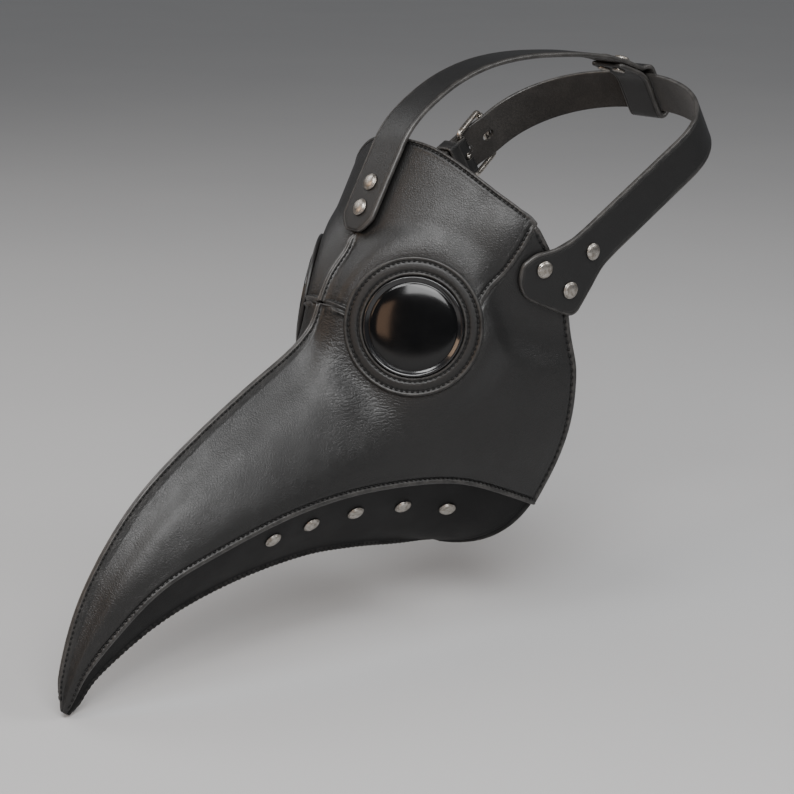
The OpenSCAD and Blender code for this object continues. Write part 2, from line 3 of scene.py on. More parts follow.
import bpy
import numpy as np
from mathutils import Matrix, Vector


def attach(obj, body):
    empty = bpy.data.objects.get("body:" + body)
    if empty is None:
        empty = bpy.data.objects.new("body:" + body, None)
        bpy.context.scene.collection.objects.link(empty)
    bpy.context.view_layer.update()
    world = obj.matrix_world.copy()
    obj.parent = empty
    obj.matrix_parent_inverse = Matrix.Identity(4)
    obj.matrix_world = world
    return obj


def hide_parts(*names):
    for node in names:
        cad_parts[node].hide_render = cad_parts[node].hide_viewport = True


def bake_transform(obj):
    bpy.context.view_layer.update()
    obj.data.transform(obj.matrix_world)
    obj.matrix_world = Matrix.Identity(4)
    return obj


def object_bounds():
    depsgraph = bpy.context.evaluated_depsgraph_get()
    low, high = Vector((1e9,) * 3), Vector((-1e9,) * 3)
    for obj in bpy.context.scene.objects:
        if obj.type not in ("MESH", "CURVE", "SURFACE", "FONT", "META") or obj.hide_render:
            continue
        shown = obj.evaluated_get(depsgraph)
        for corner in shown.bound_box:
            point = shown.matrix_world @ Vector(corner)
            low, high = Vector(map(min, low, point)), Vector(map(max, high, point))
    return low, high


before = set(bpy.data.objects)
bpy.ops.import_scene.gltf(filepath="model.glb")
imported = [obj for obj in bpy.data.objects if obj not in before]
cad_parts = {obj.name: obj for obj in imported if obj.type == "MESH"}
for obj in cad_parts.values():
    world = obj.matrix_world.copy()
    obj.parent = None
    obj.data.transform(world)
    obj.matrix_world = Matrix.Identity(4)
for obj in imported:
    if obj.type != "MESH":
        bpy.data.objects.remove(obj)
cad_low, cad_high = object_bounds()

# Everything below is worked out in millimetres in the CAD frame and scaled at the end.
MM = 0.001

# ---------------------------------------------------------------- sizes shared with the CAD
# Thickness of the body leather and of the straps, and width of the rear strap
LEATHER = 2.6
STRAP = 2.8
REAR_W = 26.0
# Turned-out seams: height, thickness of one side, and half the gap between the two sides
SEAM_H = 4.0
SEAM_T = 1.6
GAP = 0.12
# Eye ring's outer radius, eye hole's radius, rivet cap's radius and height
RING_R = 37.5
HOLE_R = 25.5
CAP_R = 4.8
CAP_H = 2.4
# Where the brow panel starts along the ridge, counted in stations of the guide points
BRIDGE_U = 7.78
# Rear strap: how far out its side runs, the middle of its temple tab, and how steeply it rises
SIDE_X = 78.5
TAB_Y, TAB_Z = 54.0, 25.0
SLOPE = math.radians(30)
# Leather patch behind the cheek: its thickness, and how far behind the cheek its back lies
PATCH, PATCH_BACK = 1.8, 2.4
# Along the strap: where the loop behind the head starts, and how far back it reaches
LOOP_S, LOOP_B = 105.0, 58.0
# Buckle: its heel bar along the strap, and its front bar outward and along
BAR_S = 80.0
FRONT_O, FRONT_S = 5.75, 104.0

# Left eye: middle of the ring, and its outward, sideways and upward directions
EYE_C = np.array([44.0, -25.0, 0.0])
EYE_TURN, EYE_TILT = math.radians(45), math.radians(10)
EYE_N = np.array([
    math.cos(EYE_TILT) * math.sin(EYE_TURN),
    -math.cos(EYE_TILT) * math.cos(EYE_TURN),
    math.sin(EYE_TILT),
])
EYE_X = np.array([math.cos(EYE_TURN), math.sin(EYE_TURN), 0.0])
EYE_Y = np.cross(EYE_N, EYE_X)

# Guide points of the left skin: a row per station from the beak tip to the rear edge,
# each from the ridge round the side to the jaw seam.
NET = np.array([
    [[0, -224.2, -178.2], [1.5, -224, -178.7], [2.6, -224, -179.2], [3.3, -223.4, -179.8],
     [3.7, -222.8, -180.3], [3.9, -222.2, -180.8], [3.8, -221.6, -181.3]],
    [[0, -219.6, -158.6], [3, -218.4, -159.6], [5, -218, -160], [6, -217, -161],
     [7, -216, -162], [7, -215, -163], [6.5, -214, -163.5]],
    [[0, -210.4, -132.2], [5, -207.6, -135], [8.5, -206, -136], [11, -203, -138],
     [12.5, -200, -140], [13, -198, -141], [13, -196, -142]],
    [[0, -194.6, -105.8], [7, -191.5, -109], [12.5, -189, -111], [16.5, -185, -114],
     [19, -181, -117], [20.5, -178, -119], [20.5, -174, -121]],
    [[0, -170, -78.2], [8, -166.5, -83], [15, -164, -87], [20.5, -159, -93],
     [24.5, -154, -98], [27, -149, -103], [27.5, -144, -107]],
    [[0, -134.4, -52.5], [9, -132, -59.5], [17, -129, -66], [24, -124, -74],
     [29.5, -119, -82], [33, -113, -89], [34, -107, -95]],
    [[0, -95.5, -29.5], [10, -93, -37.5], [19, -90, -45], [27, -86, -56],
     [33.5, -81, -68], [37.5, -76, -79], [38.5, -70, -89]],
    [[0, -65, -11.3], [11, -63.5, -19.5], [21, -60, -27], [31, -53, -41],
     [39, -48, -57], [43.5, -43, -73], [44, -38, -88]],
    [[0, -44.5, 14.5], [14, -44.5, 12], [29, -38, 2], [44, -26, -16],
     [54, -17, -42], [56, -9, -68], [50, -3, -91]],
    [[0, -27.5, 48.5], [21, -25.5, 44.5], [43, -15, 36], [62, 4, 14],
     [71, 22, -28], [70, 30, -68], [56, 24, -100]],
    [[0, -1, 95], [27, 5, 91], [53, 15, 76], [70, 33, 53],
     [78, 58, 4], [78, 62, -60], [60, 52, -113]],
], float)
# The keel seam under the chin and beak, and how far the chin panel bulges at each of its stations
KEEL = np.array([
    [0, -219, -183], [0, -206, -167], [0, -188, -155.5], [0, -164, -144.5],
    [0, -136, -136.5], [0, -102, -131], [0, -66, -129], [0, -36, -131.5],
    [0, -10, -135.5], [0, 10, -139.5], [0, 26, -143],
], float)
BELLY = np.array([0, 0.3, 0.6, 1, 1.5, 2, 2, 2.5, 4, 8, 11], float)


# ---------------------------------------------------------------- curves and the skin
def bell(x, width):
    """1 at 0, falling away smoothly on both sides."""
    return np.exp(-((x / width) ** 2))


def ease(a, b, x):
    """Rises smoothly from 0 at a to 1 at b."""
    t = np.clip((x - a) / (b - a), 0, 1)
    return t * t * (3 - 2 * t)


def unit(v):
    return v / np.maximum(np.linalg.norm(v, axis=-1, keepdims=True), 1e-12)


def mixed(a, b, t):
    a, b, t = np.asarray(a, float), np.asarray(b, float), np.asarray(t, float)
    return a + (b - a) * t[..., None]


def ghosted(p):
    return np.concatenate([[2 * p[0] - p[1]], p, [2 * p[-1] - p[-2]]])


def cubic_weights(t):
    return 0.5 * np.stack([
        -t + 2 * t**2 - t**3,
        2 - 5 * t**2 + 3 * t**3,
        t + 4 * t**2 - 3 * t**3,
        t**3 - t**2,
    ], -1)


def along(p, t):
    """Smooth curve through the entries of p, at parameter t counted in entries."""
    p, t = np.asarray(p, float), np.asarray(t, float)
    g = ghosted(p)
    i = np.clip(np.floor(t), 0, len(p) - 2).astype(int)
    w = cubic_weights(t - i)
    return sum(w[..., k].reshape(t.shape + (1,) * (p.ndim - 1)) * g[i + k] for k in range(4))


def spline_weights(t):
    return np.stack([(1 - t) ** 3, 3 * t**3 - 6 * t**2 + 4, 3 * (t + t**2 - t**3) + 1, t**3], -1) / 6


def spline_knots(p):
    """Control points of the smooth cubic spline that passes through the entries of p."""
    n = len(p)
    m = np.eye(n + 2) * 4 + np.eye(n + 2, k=1) + np.eye(n + 2, k=-1)
    m[0, :3] = m[-1, -3:] = [1, -2, 1]
    goal = np.zeros((n + 2,) + p.shape[1:])
    goal[1:-1] = 6 * p
    return np.linalg.solve(m, goal.reshape(n + 2, -1)).reshape(goal.shape)


def evened(net):
    """Takes the small unevenness out of the guide points along the beak, and leaves its curves."""
    wobble = (net[:-4] - 4 * net[1:-3] + 6 * net[2:-2] - 4 * net[3:-1] + net[4:]) / 16
    made = net.copy()
    made[2:-3, 1:6] -= 0.8 * wobble[:-1, 1:6]
    return made


NET_G = np.swapaxes(spline_knots(np.swapaxes(spline_knots(evened(NET)), 0, 1)), 0, 1)


def raw_skin(uv):
    uv = np.asarray(uv, float)
    q = uv.reshape(-1, 2)
    i = np.clip(np.floor(q[:, 0]), 0, 9).astype(int)
    j = np.clip(np.floor(q[:, 1]), 0, 5).astype(int)
    wu, wv, k = spline_weights(q[:, 0] - i), spline_weights(q[:, 1] - j), np.arange(4)
    patch = NET_G[(i[:, None] + k)[:, :, None], (j[:, None] + k)[:, None, :]]
    return np.einsum("na,nb,nabk->nk", wu, wv, patch).reshape(uv.shape[:-1] + (3,))


def strap_x(s):
    return SIDE_X - 0.005 * np.maximum(0, 10 - s) ** 2


def skin(uv):
    """The outer face of the left leather, flat under the eye ring and under the temple tab."""
    p = raw_skin(uv)
    h = (p - EYE_C) @ EYE_N
    r = np.linalg.norm(p - EYE_C - h[..., None] * EYE_N, axis=-1)
    p = p - (h * (1 - ease(38, 56, r)))[..., None] * EYE_N
    y, z = p[..., 1] - TAB_Y, p[..., 2] - TAB_Z
    s = y * math.cos(SLOPE) + z * math.sin(SLOPE)
    m = z * math.cos(SLOPE) - y * math.sin(SLOPE)
    w = 1 - ease(30, 58, np.hypot(s, m))
    x = p[..., 0] + (strap_x(s) - 0.2 - p[..., 0]) * w
    return np.stack([x, p[..., 1], p[..., 2]], -1)


def skin_slopes(uv, e=0.02):
    du, dv = np.array([e, 0]), np.array([0, e])
    return (skin(uv + du) - skin(uv - du)) / (2 * e), (skin(uv + dv) - skin(uv - dv)) / (2 * e)


def skin_n(uv):
    """Outward normals of the skin."""
    a, b = skin_slopes(np.asarray(uv, float))
    return unit(np.cross(b, a))


def thin(u):
    """Share of its full thickness that the leather has, less towards the beak's tip."""
    return np.minimum(1, 0.4 + 0.4 * u)


def ridge(u):
    p = skin(np.stack([u, np.zeros_like(u)], -1))
    return p * np.array([0, 1, 1])


def ridge_up(u):
    t = unit(ridge(u + 0.02) - ridge(u - 0.02))
    return np.stack([np.zeros_like(u), -t[..., 2], t[..., 1]], -1)


def ridge_h(u):
    return SEAM_H * (1 - 0.94 * ease(8.8, 8.89, u)) * (0.3 + 0.7 * ease(0, 0.8, u))


def hole_uv(angle):
    """Net parameters of a point on the rim of the eye hole."""
    angle = np.radians(np.asarray(angle, float))
    goal = np.stack([HOLE_R * np.cos(angle), HOLE_R * np.sin(angle)], -1)
    uv = np.broadcast_to(np.array([8.25, 2.75]), goal.shape).copy()

    def flat(q):
        p = raw_skin(q) - EYE_C
        return np.stack([p @ EYE_X, p @ EYE_Y], -1)

    for _ in range(10):
        e = 0.01
        p = flat(uv)
        a = (flat(uv + [e, 0]) - p) / e
        b = (flat(uv + [0, e]) - p) / e
        g = goal - p
        k = a[..., 0] * b[..., 1] - a[..., 1] * b[..., 0]
        uv[..., 0] += (g[..., 0] * b[..., 1] - g[..., 1] * b[..., 0]) / k
        uv[..., 1] += (a[..., 0] * g[..., 1] - a[..., 1] * g[..., 0]) / k
    return uv


def lengths(p):
    return np.concatenate([[0], np.cumsum(np.linalg.norm(np.diff(p, axis=0), axis=1))])


def spaced(length, start, end, middle):
    """Places along a length: set distances near each end, even steps between."""
    start, end = np.asarray(start, float), np.asarray(end, float)
    k = min(1.0, 0.45 * length / max(start[-1], end[-1], 1e-6))
    a, b = start * k, length - end * k
    return np.concatenate([a, np.linspace(a[-1], b[-1], middle + 2)[1:-1], b[::-1]])


def looked_up(s, d, p):
    """The entries of p, which lie at the distances d, read off at the distances s."""
    return np.stack([np.interp(s, d, p[:, k]) for k in range(p.shape[1])], -1)


def respace(uv, start, end, middle):
    """Spreads the points of a line on the skin anew, finer near its ends."""
    d = lengths(skin(uv))
    return looked_up(spaced(d[-1], start, end, middle), d, uv)


def resampled(p, step=None, count=None):
    """Points evenly spread along a line, by step or by count."""
    d = lengths(p)
    n = count or max(2, int(round(d[-1] / step)) + 1)
    return looked_up(np.linspace(0, d[-1], n), d, p)


def line_place(p, line, step=3):
    """Distance from each point of p to a line, and how far along the line its nearest place is."""
    q, run = p.reshape(-1, 3), lengths(line)
    stops = np.unique(np.append(np.arange(0, len(line), step), len(line) - 1))
    best, place = np.full(len(q), 1e9), np.zeros(len(q))
    for i, j in zip(stops[:-1], stops[1:]):
        a, d = line[i], line[j] - line[i]
        t = np.clip(((q - a) @ d) / max(d @ d, 1e-12), 0, 1)
        far = ((q - a - t[:, None] * d) ** 2).sum(1)
        closer = far < best
        best = np.where(closer, far, best)
        place = np.where(closer, run[i] + t * (run[j] - run[i]), place)
    return np.sqrt(best).reshape(p.shape[:-1]), place.reshape(p.shape[:-1])


def line_distance(p, line):
    return line_place(p, line)[0]


def offset_uv(uv, distance, inside):
    """A line on the skin at a distance from another one, on the side of the point inside."""
    p, n = skin(uv), skin_n(uv)
    side = unit(np.cross(n, np.gradient(p, axis=0)))
    middle = len(uv) // 2
    if (skin(np.asarray(inside, float)) - p[middle]) @ side[middle] < 0:
        side = -side
    goal, q = p + side * distance, np.array(uv, float)
    for _ in range(6):
        a, b = skin_slopes(q)
        r = goal - skin(q)
        aa, ab, bb = (a * a).sum(-1), (a * b).sum(-1), (b * b).sum(-1)
        ar, br = (a * r).sum(-1), (b * r).sum(-1)
        k = aa * bb - ab * ab
        q += np.stack([(ar * bb - br * ab) / k, (br * aa - ar * ab) / k], -1)
    return q


def ripple(p):
    """Slow unevenness of hand-shaped leather."""
    x, y, z = p[..., 0], p[..., 1], p[..., 2]
    return (
        0.1 * np.sin(0.115 * y + 0.07 * z + 0.9)
        + 0.07 * np.sin(0.19 * z - 0.09 * x + 0.05 * y + 2.1)
        + 0.04 * np.sin(0.31 * y + 0.17 * x - 0.11 * z + 4.0)
    )


def nose_fill(p):
    """Rounds out the leather between the ridge and the eye ring, where it would sag."""
    line = mixed(np.array([15.0, -61.0, -17.0]), np.array([28.0, -57.5, -36.0]), np.linspace(0, 1, 12))
    return 1.1 * bell(line_distance(p, line), 9.5)


def hem(d, width, roll, dip):
    """A turned hem: a raised lip out to its row of stitches, and a groove for the thread."""
    lip = roll * (1 - ease(width - 1.0, width - 0.15, d))
    groove = -dip * bell(d - width, 0.5)
    swell = 0.3 * roll * bell(d - width - 1.6, 1.0)
    return lip + groove + swell


def lip_wear_and_sheen(d, width):
    """How rubbed the leather is, and how much painted sheen it gets: most on the lip of a hem."""
    return 0.85 * (1 - ease(width - 0.9, width - 0.2, d))


# ---------------------------------------------------------------- meshes
def object_from(name, points, faces, materials, index=None, attributes=None, sharp=None):
    """One object from points in millimetres; points at the same place become one."""
    points = np.asarray(points, float)
    key = np.round(points * 2000).astype(np.int64)
    _, first, inverse = np.unique(key, axis=0, return_index=True, return_inverse=True)
    inverse = inverse.reshape(-1)
    kept, kept_index = [], []
    for k, face in enumerate(inverse[np.asarray(faces)].tolist()):
        loop = list(dict.fromkeys(face))
        if len(loop) > 2:
            kept.append(loop)
            kept_index.append(0 if index is None else int(index[k]))
    mesh = bpy.data.meshes.new(name)
    mesh.from_pydata((points[first] * MM).tolist(), [], kept)
    mesh.polygons.foreach_set("material_index", kept_index)
    for key_name, values in (attributes or {}).items():
        layer = mesh.attributes.new(key_name, "FLOAT", "POINT")
        layer.data.foreach_set("value", np.asarray(values, np.float32)[first])
    for m in materials:
        mesh.materials.append(m)
    mesh.validate()
    mesh.shade_smooth()
    if sharp:
        mesh.set_sharp_from_angle(angle=math.radians(sharp))
    made = bpy.data.objects.new(name, mesh)
    bpy.context.scene.collection.objects.link(made)
    return made


def mirrored(points):
    return np.asarray(points, float) * np.array([-1, 1, 1])


def grid_faces(a):
    """Quads between neighbouring entries of a grid of point numbers."""
    return np.stack([a[:-1, :-1], a[1:, :-1], a[1:, 1:], a[:-1, 1:]], -1).reshape(-1, 4)


RIM = [math.radians(a) for a in (28, 52, 72, 90)]


def with_rim(g):
    """Adds a rounded edge beyond the last entries of axis 1 of a sheet's grids."""
    mid, n, half = g["mid"], g["n"], g["half"]
    edge, en, h = mid[:, -1], n[:, -1], half[:, -1]
    out = unit(np.cross(np.gradient(edge, axis=0), en))
    away = edge - mid[:, -min(12, mid.shape[1])]
    out = out * np.where((out * away).sum(-1) < 0, -1.0, 1.0)[:, None]
    for angle in RIM:
        mid = np.concatenate([mid, (edge + out * (h * 0.8 * math.sin(angle))[:, None])[:, None]], 1)
        last = 0.0 if angle == RIM[-1] else math.cos(angle)
        half = np.concatenate([half, (h * last)[:, None]], 1)
        n = np.concatenate([n, en[:, None]], 1)
    made = {"mid": mid, "n": n, "half": half}
    for key in g:
        if key not in made:
            a = g[key]
            made[key] = np.concatenate([a] + [a[:, -1:]] * len(RIM), 1)
    made["rim"] = np.concatenate([g["rim"]] + [np.ones_like(g["rim"][:, :1])] * len(RIM), 1)
    return made


def turned(g, swap, flip):
    made = {}
    for key, a in g.items():
        a = np.swapaxes(a, 0, 1) if swap else a
        made[key] = a[:, ::-1] if flip else a
    return made


def closed_up(a):
    """Repeats the first entry at the end."""
    return np.concatenate([a, a[:1]])


def sheet(name, outer, normal, thick, materials, proud=0.0, attributes=None, keep=None, mirror=False,
          closed=False):
    """A sheet of leather as a closed solid: outer face, flesh side and rounded edges.
    materials are the grain side, the flesh side and the cut edge."""
    half = np.broadcast_to(np.asarray(thick, float), outer.shape[:2]) / 2
    g = {"mid": outer - normal * half[..., None], "n": normal, "half": half.copy()}
    proud = np.broadcast_to(np.asarray(proud, float), half.shape)
    g["mid"] = g["mid"] + normal * (proud / 2)[..., None]
    g["half"] = g["half"] + proud / 2
    g["rim"] = np.zeros_like(half)
    for key, a in (attributes or {}).items():
        g[key] = np.broadcast_to(np.asarray(a, float), half.shape)
    g = with_rim(g)
    g = turned(with_rim(turned(g, False, True)), False, True)
    if not closed:
        g = turned(with_rim(turned(g, True, False)), False, False)
        g = turned(with_rim(turned(g, False, True)), False, True)
        g = {key: np.swapaxes(a, 0, 1) for key, a in g.items()}
    top = g["mid"] + g["n"] * g["half"][..., None]
    low = g["mid"] - g["n"] * g["half"][..., None]
    if keep is not None:
        top, low = keep(top), keep(low)
    if closed:
        top, low = closed_up(top), closed_up(low)
        g = {key: closed_up(a) for key, a in g.items()}
    count = top.shape[0] * top.shape[1]
    numbers = np.arange(count).reshape(top.shape[:2])
    quads = grid_faces(numbers)
    points = np.concatenate([top.reshape(-1, 3), low.reshape(-1, 3)])
    rim = g["rim"].reshape(-1)[quads].min(1) > 0
    faces = np.concatenate([quads, quads[:, ::-1] + count])
    index = np.concatenate([np.where(rim, 2, 0), np.where(rim, 2, 1)])
    values = {key: np.concatenate([g[key].reshape(-1)] * 2) for key in attributes or {}}
    if mirror:
        points, faces = mirrored(points), faces[:, ::-1]
    made = object_from(name, points, faces, materials, index, values)
    outward(made)
    return made


def outward(made):
    """Turns a closed mesh's faces outward."""
    mesh = made.data
    co = np.array([v.co for v in mesh.vertices], float)
    mesh.calc_loop_triangles()
    tri = np.array([t.vertices[:] for t in mesh.loop_triangles])
    volume = np.einsum("ij,ij->i", co[tri[:, 0]], np.cross(co[tri[:, 1]], co[tri[:, 2]])).sum()
    if volume < 0:
        mesh.flip_normals()


def rounded(points, radius, steps=3):
    """A closed outline with each corner rounded off."""
    p = [np.array(q, float) for q in points]
    made = []
    for k, v in enumerate(p):
        a, b = p[k - 1], p[(k + 1) % len(p)]
        la, lb = np.linalg.norm(a - v), np.linalg.norm(b - v)
        s, e = v + (a - v) * min(radius / la, 0.45), v + (b - v) * min(radius / lb, 0.45)
        for t in np.linspace(0, 1, steps + 1):
            made.append((1 - t) ** 2 * s + 2 * t * (1 - t) * v + t * t * e)
    return np.array(made)


def lathe_points(profile, steps, origin, axis, shape=None):
    """A closed profile of (radius, height) turned about an axis."""
    axis = unit(np.asarray(axis, float))
    side = unit(np.cross(axis, [0.0, 0.0, 1.0]) if abs(axis[2]) < 0.9 else np.cross(axis, [1.0, 0.0, 0.0]))
    up = np.cross(axis, side)
    angle = np.linspace(0, 2 * np.pi, steps, endpoint=False)[:, None]
    r, h = profile[None, :, 0] + 0 * angle, profile[None, :, 1] + 0 * angle
    if shape is not None:
        h = h + shape(r, h, angle)
    ring = np.cos(angle)[..., None] * side + np.sin(angle)[..., None] * up
    points = np.asarray(origin, float) + ring * r[..., None] + axis * h[..., None]
    numbers = np.arange(steps * len(profile)).reshape(steps, len(profile))
    return points.reshape(-1, 3), grid_faces(closed_up(closed_up(numbers).T).T)


def joined(parts):
    """Several (points, faces) pairs as one."""
    points, faces, count = [], [], 0
    for p, f in parts:
        points.append(p)
        faces.append(np.asarray(f) + count)
        count += len(p)
    return np.concatenate(points), np.concatenate(faces)


def tube_points(path, radius, sides=12, closed=False):
    """A round rod along a path, with a radius at each of its points."""
    n = len(path)
    tangent = np.roll(path, -1, 0) - np.roll(path, 1, 0) if closed else np.gradient(path, axis=0)
    tangent = unit(tangent)
    ups = [unit(np.cross(tangent[0], [0.3, 0.5, 0.8]))]
    for t in tangent[1:]:
        ups.append(unit(ups[-1] - t * (ups[-1] @ t)))
    ups = np.array(ups)
    a = np.linspace(0, 2 * np.pi, sides, endpoint=False)
    ring = np.cross(tangent, ups)[:, None] * np.cos(a)[:, None] + ups[:, None] * np.sin(a)[:, None]
    points = path[:, None] + ring * np.broadcast_to(radius, (n,))[:, None, None]
    numbers = closed_up(np.arange(n * sides).reshape(n, sides).T).T
    if closed:
        numbers = closed_up(numbers)
    return points.reshape(-1, 3), grid_faces(numbers)


def stitch_places(length, pitch, start):
    """Middles of the stitches along a row, the same distance from both its ends."""
    count = max(1, int((length - 2 * start) / pitch))
    return start + (length - 2 * start - (count - 1) * pitch) / 2 + pitch * np.arange(count)


def thread_points(line, normal, pitch, length, thick, slant, start):
    """A row of separate stitches along a line, each an arched run of thread that dips in at its ends."""
    d = lengths(line)
    places = stitch_places(d[-1], pitch, start)
    centre = looked_up(places, d, line)
    t = unit(looked_up(places, d, unit(np.gradient(line, axis=0))))
    n = unit(looked_up(places, d, normal))
    side = np.cross(t, n)
    run = unit(t * math.cos(slant) + side * math.sin(slant))
    across = np.cross(run, n)
    rings = np.array([-1, -0.86, -0.5, 0, 0.5, 0.86, 1])
    size = np.array([0.0, 0.72, 0.98, 1, 0.98, 0.72, 0.0]) * thick
    rise = -0.25 * np.abs(rings) ** 2.5
    a = np.linspace(0, 2 * np.pi, 6, endpoint=False)
    points = (
        centre[:, None, None]
        + run[:, None, None] * (rings * length / 2)[None, :, None, None]
        + n[:, None, None] * (rise[:, None] + size[:, None] * np.sin(a) * 0.8)[None, ..., None]
        + across[:, None, None] * (size[:, None] * np.cos(a))[None, ..., None]
    )
    one = grid_faces(closed_up(np.arange(len(rings) * len(a)).reshape(len(rings), -1).T).T)
    faces = one[None] + (np.arange(len(centre)) * len(rings) * len(a))[:, None, None]
    return points.reshape(-1, 3), faces.reshape(-1, 4)


# ---------------------------------------------------------------- materials
def new_material(name):
    """A material, its nodes, its shader, and the place on the object that its patterns follow."""
    made = bpy.data.materials.new(name)
    made.use_nodes = True
    tree = made.node_tree
    return made, tree, tree.nodes["Principled BSDF"], tree.nodes.new("ShaderNodeTexCoord").outputs["Object"]


def wired(tree, node, inputs):
    """Sets a node's inputs: a socket is linked, and a number or colour is set on the input itself."""
    for key, value in inputs.items():
        if isinstance(value, bpy.types.NodeSocket):
            tree.links.new(value, node.inputs[key])
        else:
            node.inputs[key].default_value = value


def add(tree, kind, inputs=None, **settings):
    """One shader node, with its inputs and settings."""
    made = tree.nodes.new("ShaderNode" + kind)
    for key, value in settings.items():
        setattr(made, key, value)
    wired(tree, made, inputs or {})
    return made


def noise(tree, vector, scale, detail=2.0, rough=0.5):
    return add(tree, "TexNoise", {
        "Vector": vector, "Scale": scale, "Detail": detail, "Roughness": rough,
    }).outputs["Fac"]


def math_node(tree, operation, a, b=0.0, clamp=False):
    return add(tree, "Math", {0: a, 1: b}, operation=operation, use_clamp=clamp).outputs[0]


def plus(tree, a, b, clamp=False):
    return math_node(tree, "ADD", a, b, clamp)


def times(tree, a, b):
    return math_node(tree, "MULTIPLY", a, b)


def ranged(tree, value, a, b, c, d):
    return add(tree, "MapRange", {
        "Value": value, "From Min": a, "From Max": b, "To Min": c, "To Max": d,
    }, interpolation_type="SMOOTHSTEP").outputs[0]


def tinted(tree, factor, a, b):
    """Mixes two colours, each a socket or three numbers."""
    a, b = ((*value, 1) if isinstance(value, tuple) else value for value in (a, b))
    return add(tree, "Mix", {"Factor": factor, 6: a, 7: b}, data_type="RGBA").outputs[2]


def shade(colour, factor):
    return tuple(c * factor for c in colour)


def bumped(tree, height, strength, distance):
    settings = {"Height": height, "Strength": strength, "Distance": distance}
    return add(tree, "Bump", settings).outputs[0]


def voronoi_edges(tree, vector, scale):
    settings = {"Vector": vector, "Scale": scale}
    return add(tree, "TexVoronoi", settings, feature="DISTANCE_TO_EDGE").outputs["Distance"]


def moved(tree, operation, a, key, value):
    return add(tree, "VectorMath", {0: a, key: value}, operation=operation).outputs[0]


def attribute(tree, name):
    return add(tree, "Attribute", attribute_name=name).outputs["Fac"]


def leather(name, base, rough, cell, depth, coat, gloss, lift=(0.05, 0.047, 0.044), crease=0.0, sewn=False):
    """Grained leather: pebbles with fine valleys, pores, slow colour change, rubbed edges lightened as wear
    and painted sheen, painted shade in the stitch holes.
    """
    made, tree, bsdf, at = new_material(name)
    slow = noise(tree, at, 42, 3)
    patch = noise(tree, at, 150, 3, 0.6)
    warp = add(tree, "TexNoise", {"Vector": at, "Scale": 420.0, "Detail": 2.0}).outputs["Color"]
    shift = moved(tree, "SUBTRACT", warp, 1, (0.5, 0.5, 0.5))
    bent = moved(tree, "ADD", at, 1, moved(tree, "SCALE", shift, "Scale", 0.0011))
    pebble = ranged(tree, voronoi_edges(tree, bent, 1000 / cell), 0.0, 0.22, 0.0, 1.0)
    fine = noise(tree, at, 2600, 3, 0.6)
    height = times(tree, pebble, ranged(tree, patch, 0.3, 0.7, 0.35, 1.0))
    height = plus(tree, height, times(tree, fine, 0.45))
    if crease:
        settings = {"Vector": bent, "Rotation": (0.25, 0.0, 0.0), "Scale": (0.4, 0.32, 1.0)}
        stretch = add(tree, "Mapping", settings).outputs[0]
        folds = ranged(tree, voronoi_edges(tree, stretch, 560.0), 0.0, 0.3, 0.0, 1.0)
        amount = times(tree, attribute(tree, "crease"), crease)
        height = plus(tree, height, times(tree, folds, amount))
    if sewn:
        turns = times(tree, attribute(tree, "phase"), 2 * math.pi)
        wave = ranged(tree, math_node(tree, "COSINE", turns), -0.4, 0.5, 0.0, 1.0)
        stitch_hole_dent_and_shade = times(tree, attribute(tree, "stitch"), wave)
        height = math_node(tree, "SUBTRACT", height, times(tree, stitch_hole_dent_and_shade, 2.5))
    colour = tinted(tree, ranged(tree, slow, 0.35, 0.68, 0.0, 1.0), base, shade(base, 1.16))
    colour = tinted(tree, ranged(tree, pebble, 0.0, 0.7, 0.6, 0.0), colour, shade(base, 0.62))
    # Rubbed places turn lighter: real wear, and a painted sheen on the raised lips where light would catch
    # them.
    rub_and_sheen = times(tree, attribute(tree, "wear"), ranged(tree, patch, 0.35, 0.62, 0.25, 0.9))
    colour = tinted(tree, rub_and_sheen, colour, lift)
    # Painted shade: the leather is darkened at each stitch hole, besides being pressed in by the bump.
    if sewn:
        colour = tinted(tree, stitch_hole_dent_and_shade, colour, shade(base, 0.12))
    polish = ranged(tree, slow, 0.3, 0.7, rough + 0.03, rough - 0.03)
    polish = plus(tree, polish, ranged(tree, fine, 0.3, 0.7, 0.04, -0.03))
    polish = math_node(tree, "SUBTRACT", polish, times(tree, rub_and_sheen, 0.08), True)
    wired(tree, bsdf, {
        "Base Color": colour, "Roughness": polish, "Normal": bumped(tree, height, depth, 0.0005),
        "Coat Weight": coat, "Coat Roughness": 0.38, "Specular IOR Level": gloss,
    })
    return made


def flesh(name, base):
    """Flesh side of leather: matt, fibrous."""
    made, tree, bsdf, at = new_material(name)
    stretch = add(tree, "Mapping", {"Vector": at, "Scale": (1.0, 0.35, 0.6)}).outputs[0]
    fibre = noise(tree, stretch, 1500, 4, 0.7)
    patch = noise(tree, at, 90, 3)
    colour = tinted(tree, ranged(tree, patch, 0.3, 0.7, 0, 1), base, shade(base, 1.5))
    colour = tinted(tree, ranged(tree, fibre, 0.35, 0.65, 0.5, 0.0), colour, shade(base, 0.55))
    wired(tree, bsdf, {
        "Base Color": colour, "Roughness": ranged(tree, fibre, 0.3, 0.7, 0.95, 0.8),
        "Normal": bumped(tree, fibre, 0.6, 0.0005), "Specular IOR Level": 0.25,
        "Sheen Weight": 0.15, "Sheen Roughness": 0.5,
    })
    return made


def burnished(name, base):
    """Cut edge, sealed and rubbed smooth, with a fine grain and faint patches."""
    made, tree, bsdf, at = new_material(name)
    grainy = noise(tree, at, 1300, 4, 0.65)
    patch = noise(tree, at, 130, 3)
    wired(tree, bsdf, {
        "Base Color": tinted(tree, ranged(tree, patch, 0.35, 0.65, 0, 1), base, shade(base, 1.9)),
        "Roughness": ranged(tree, grainy, 0.3, 0.7, 0.28, 0.48),
        "Normal": bumped(tree, grainy, 0.25, 0.0003),
    })
    return made


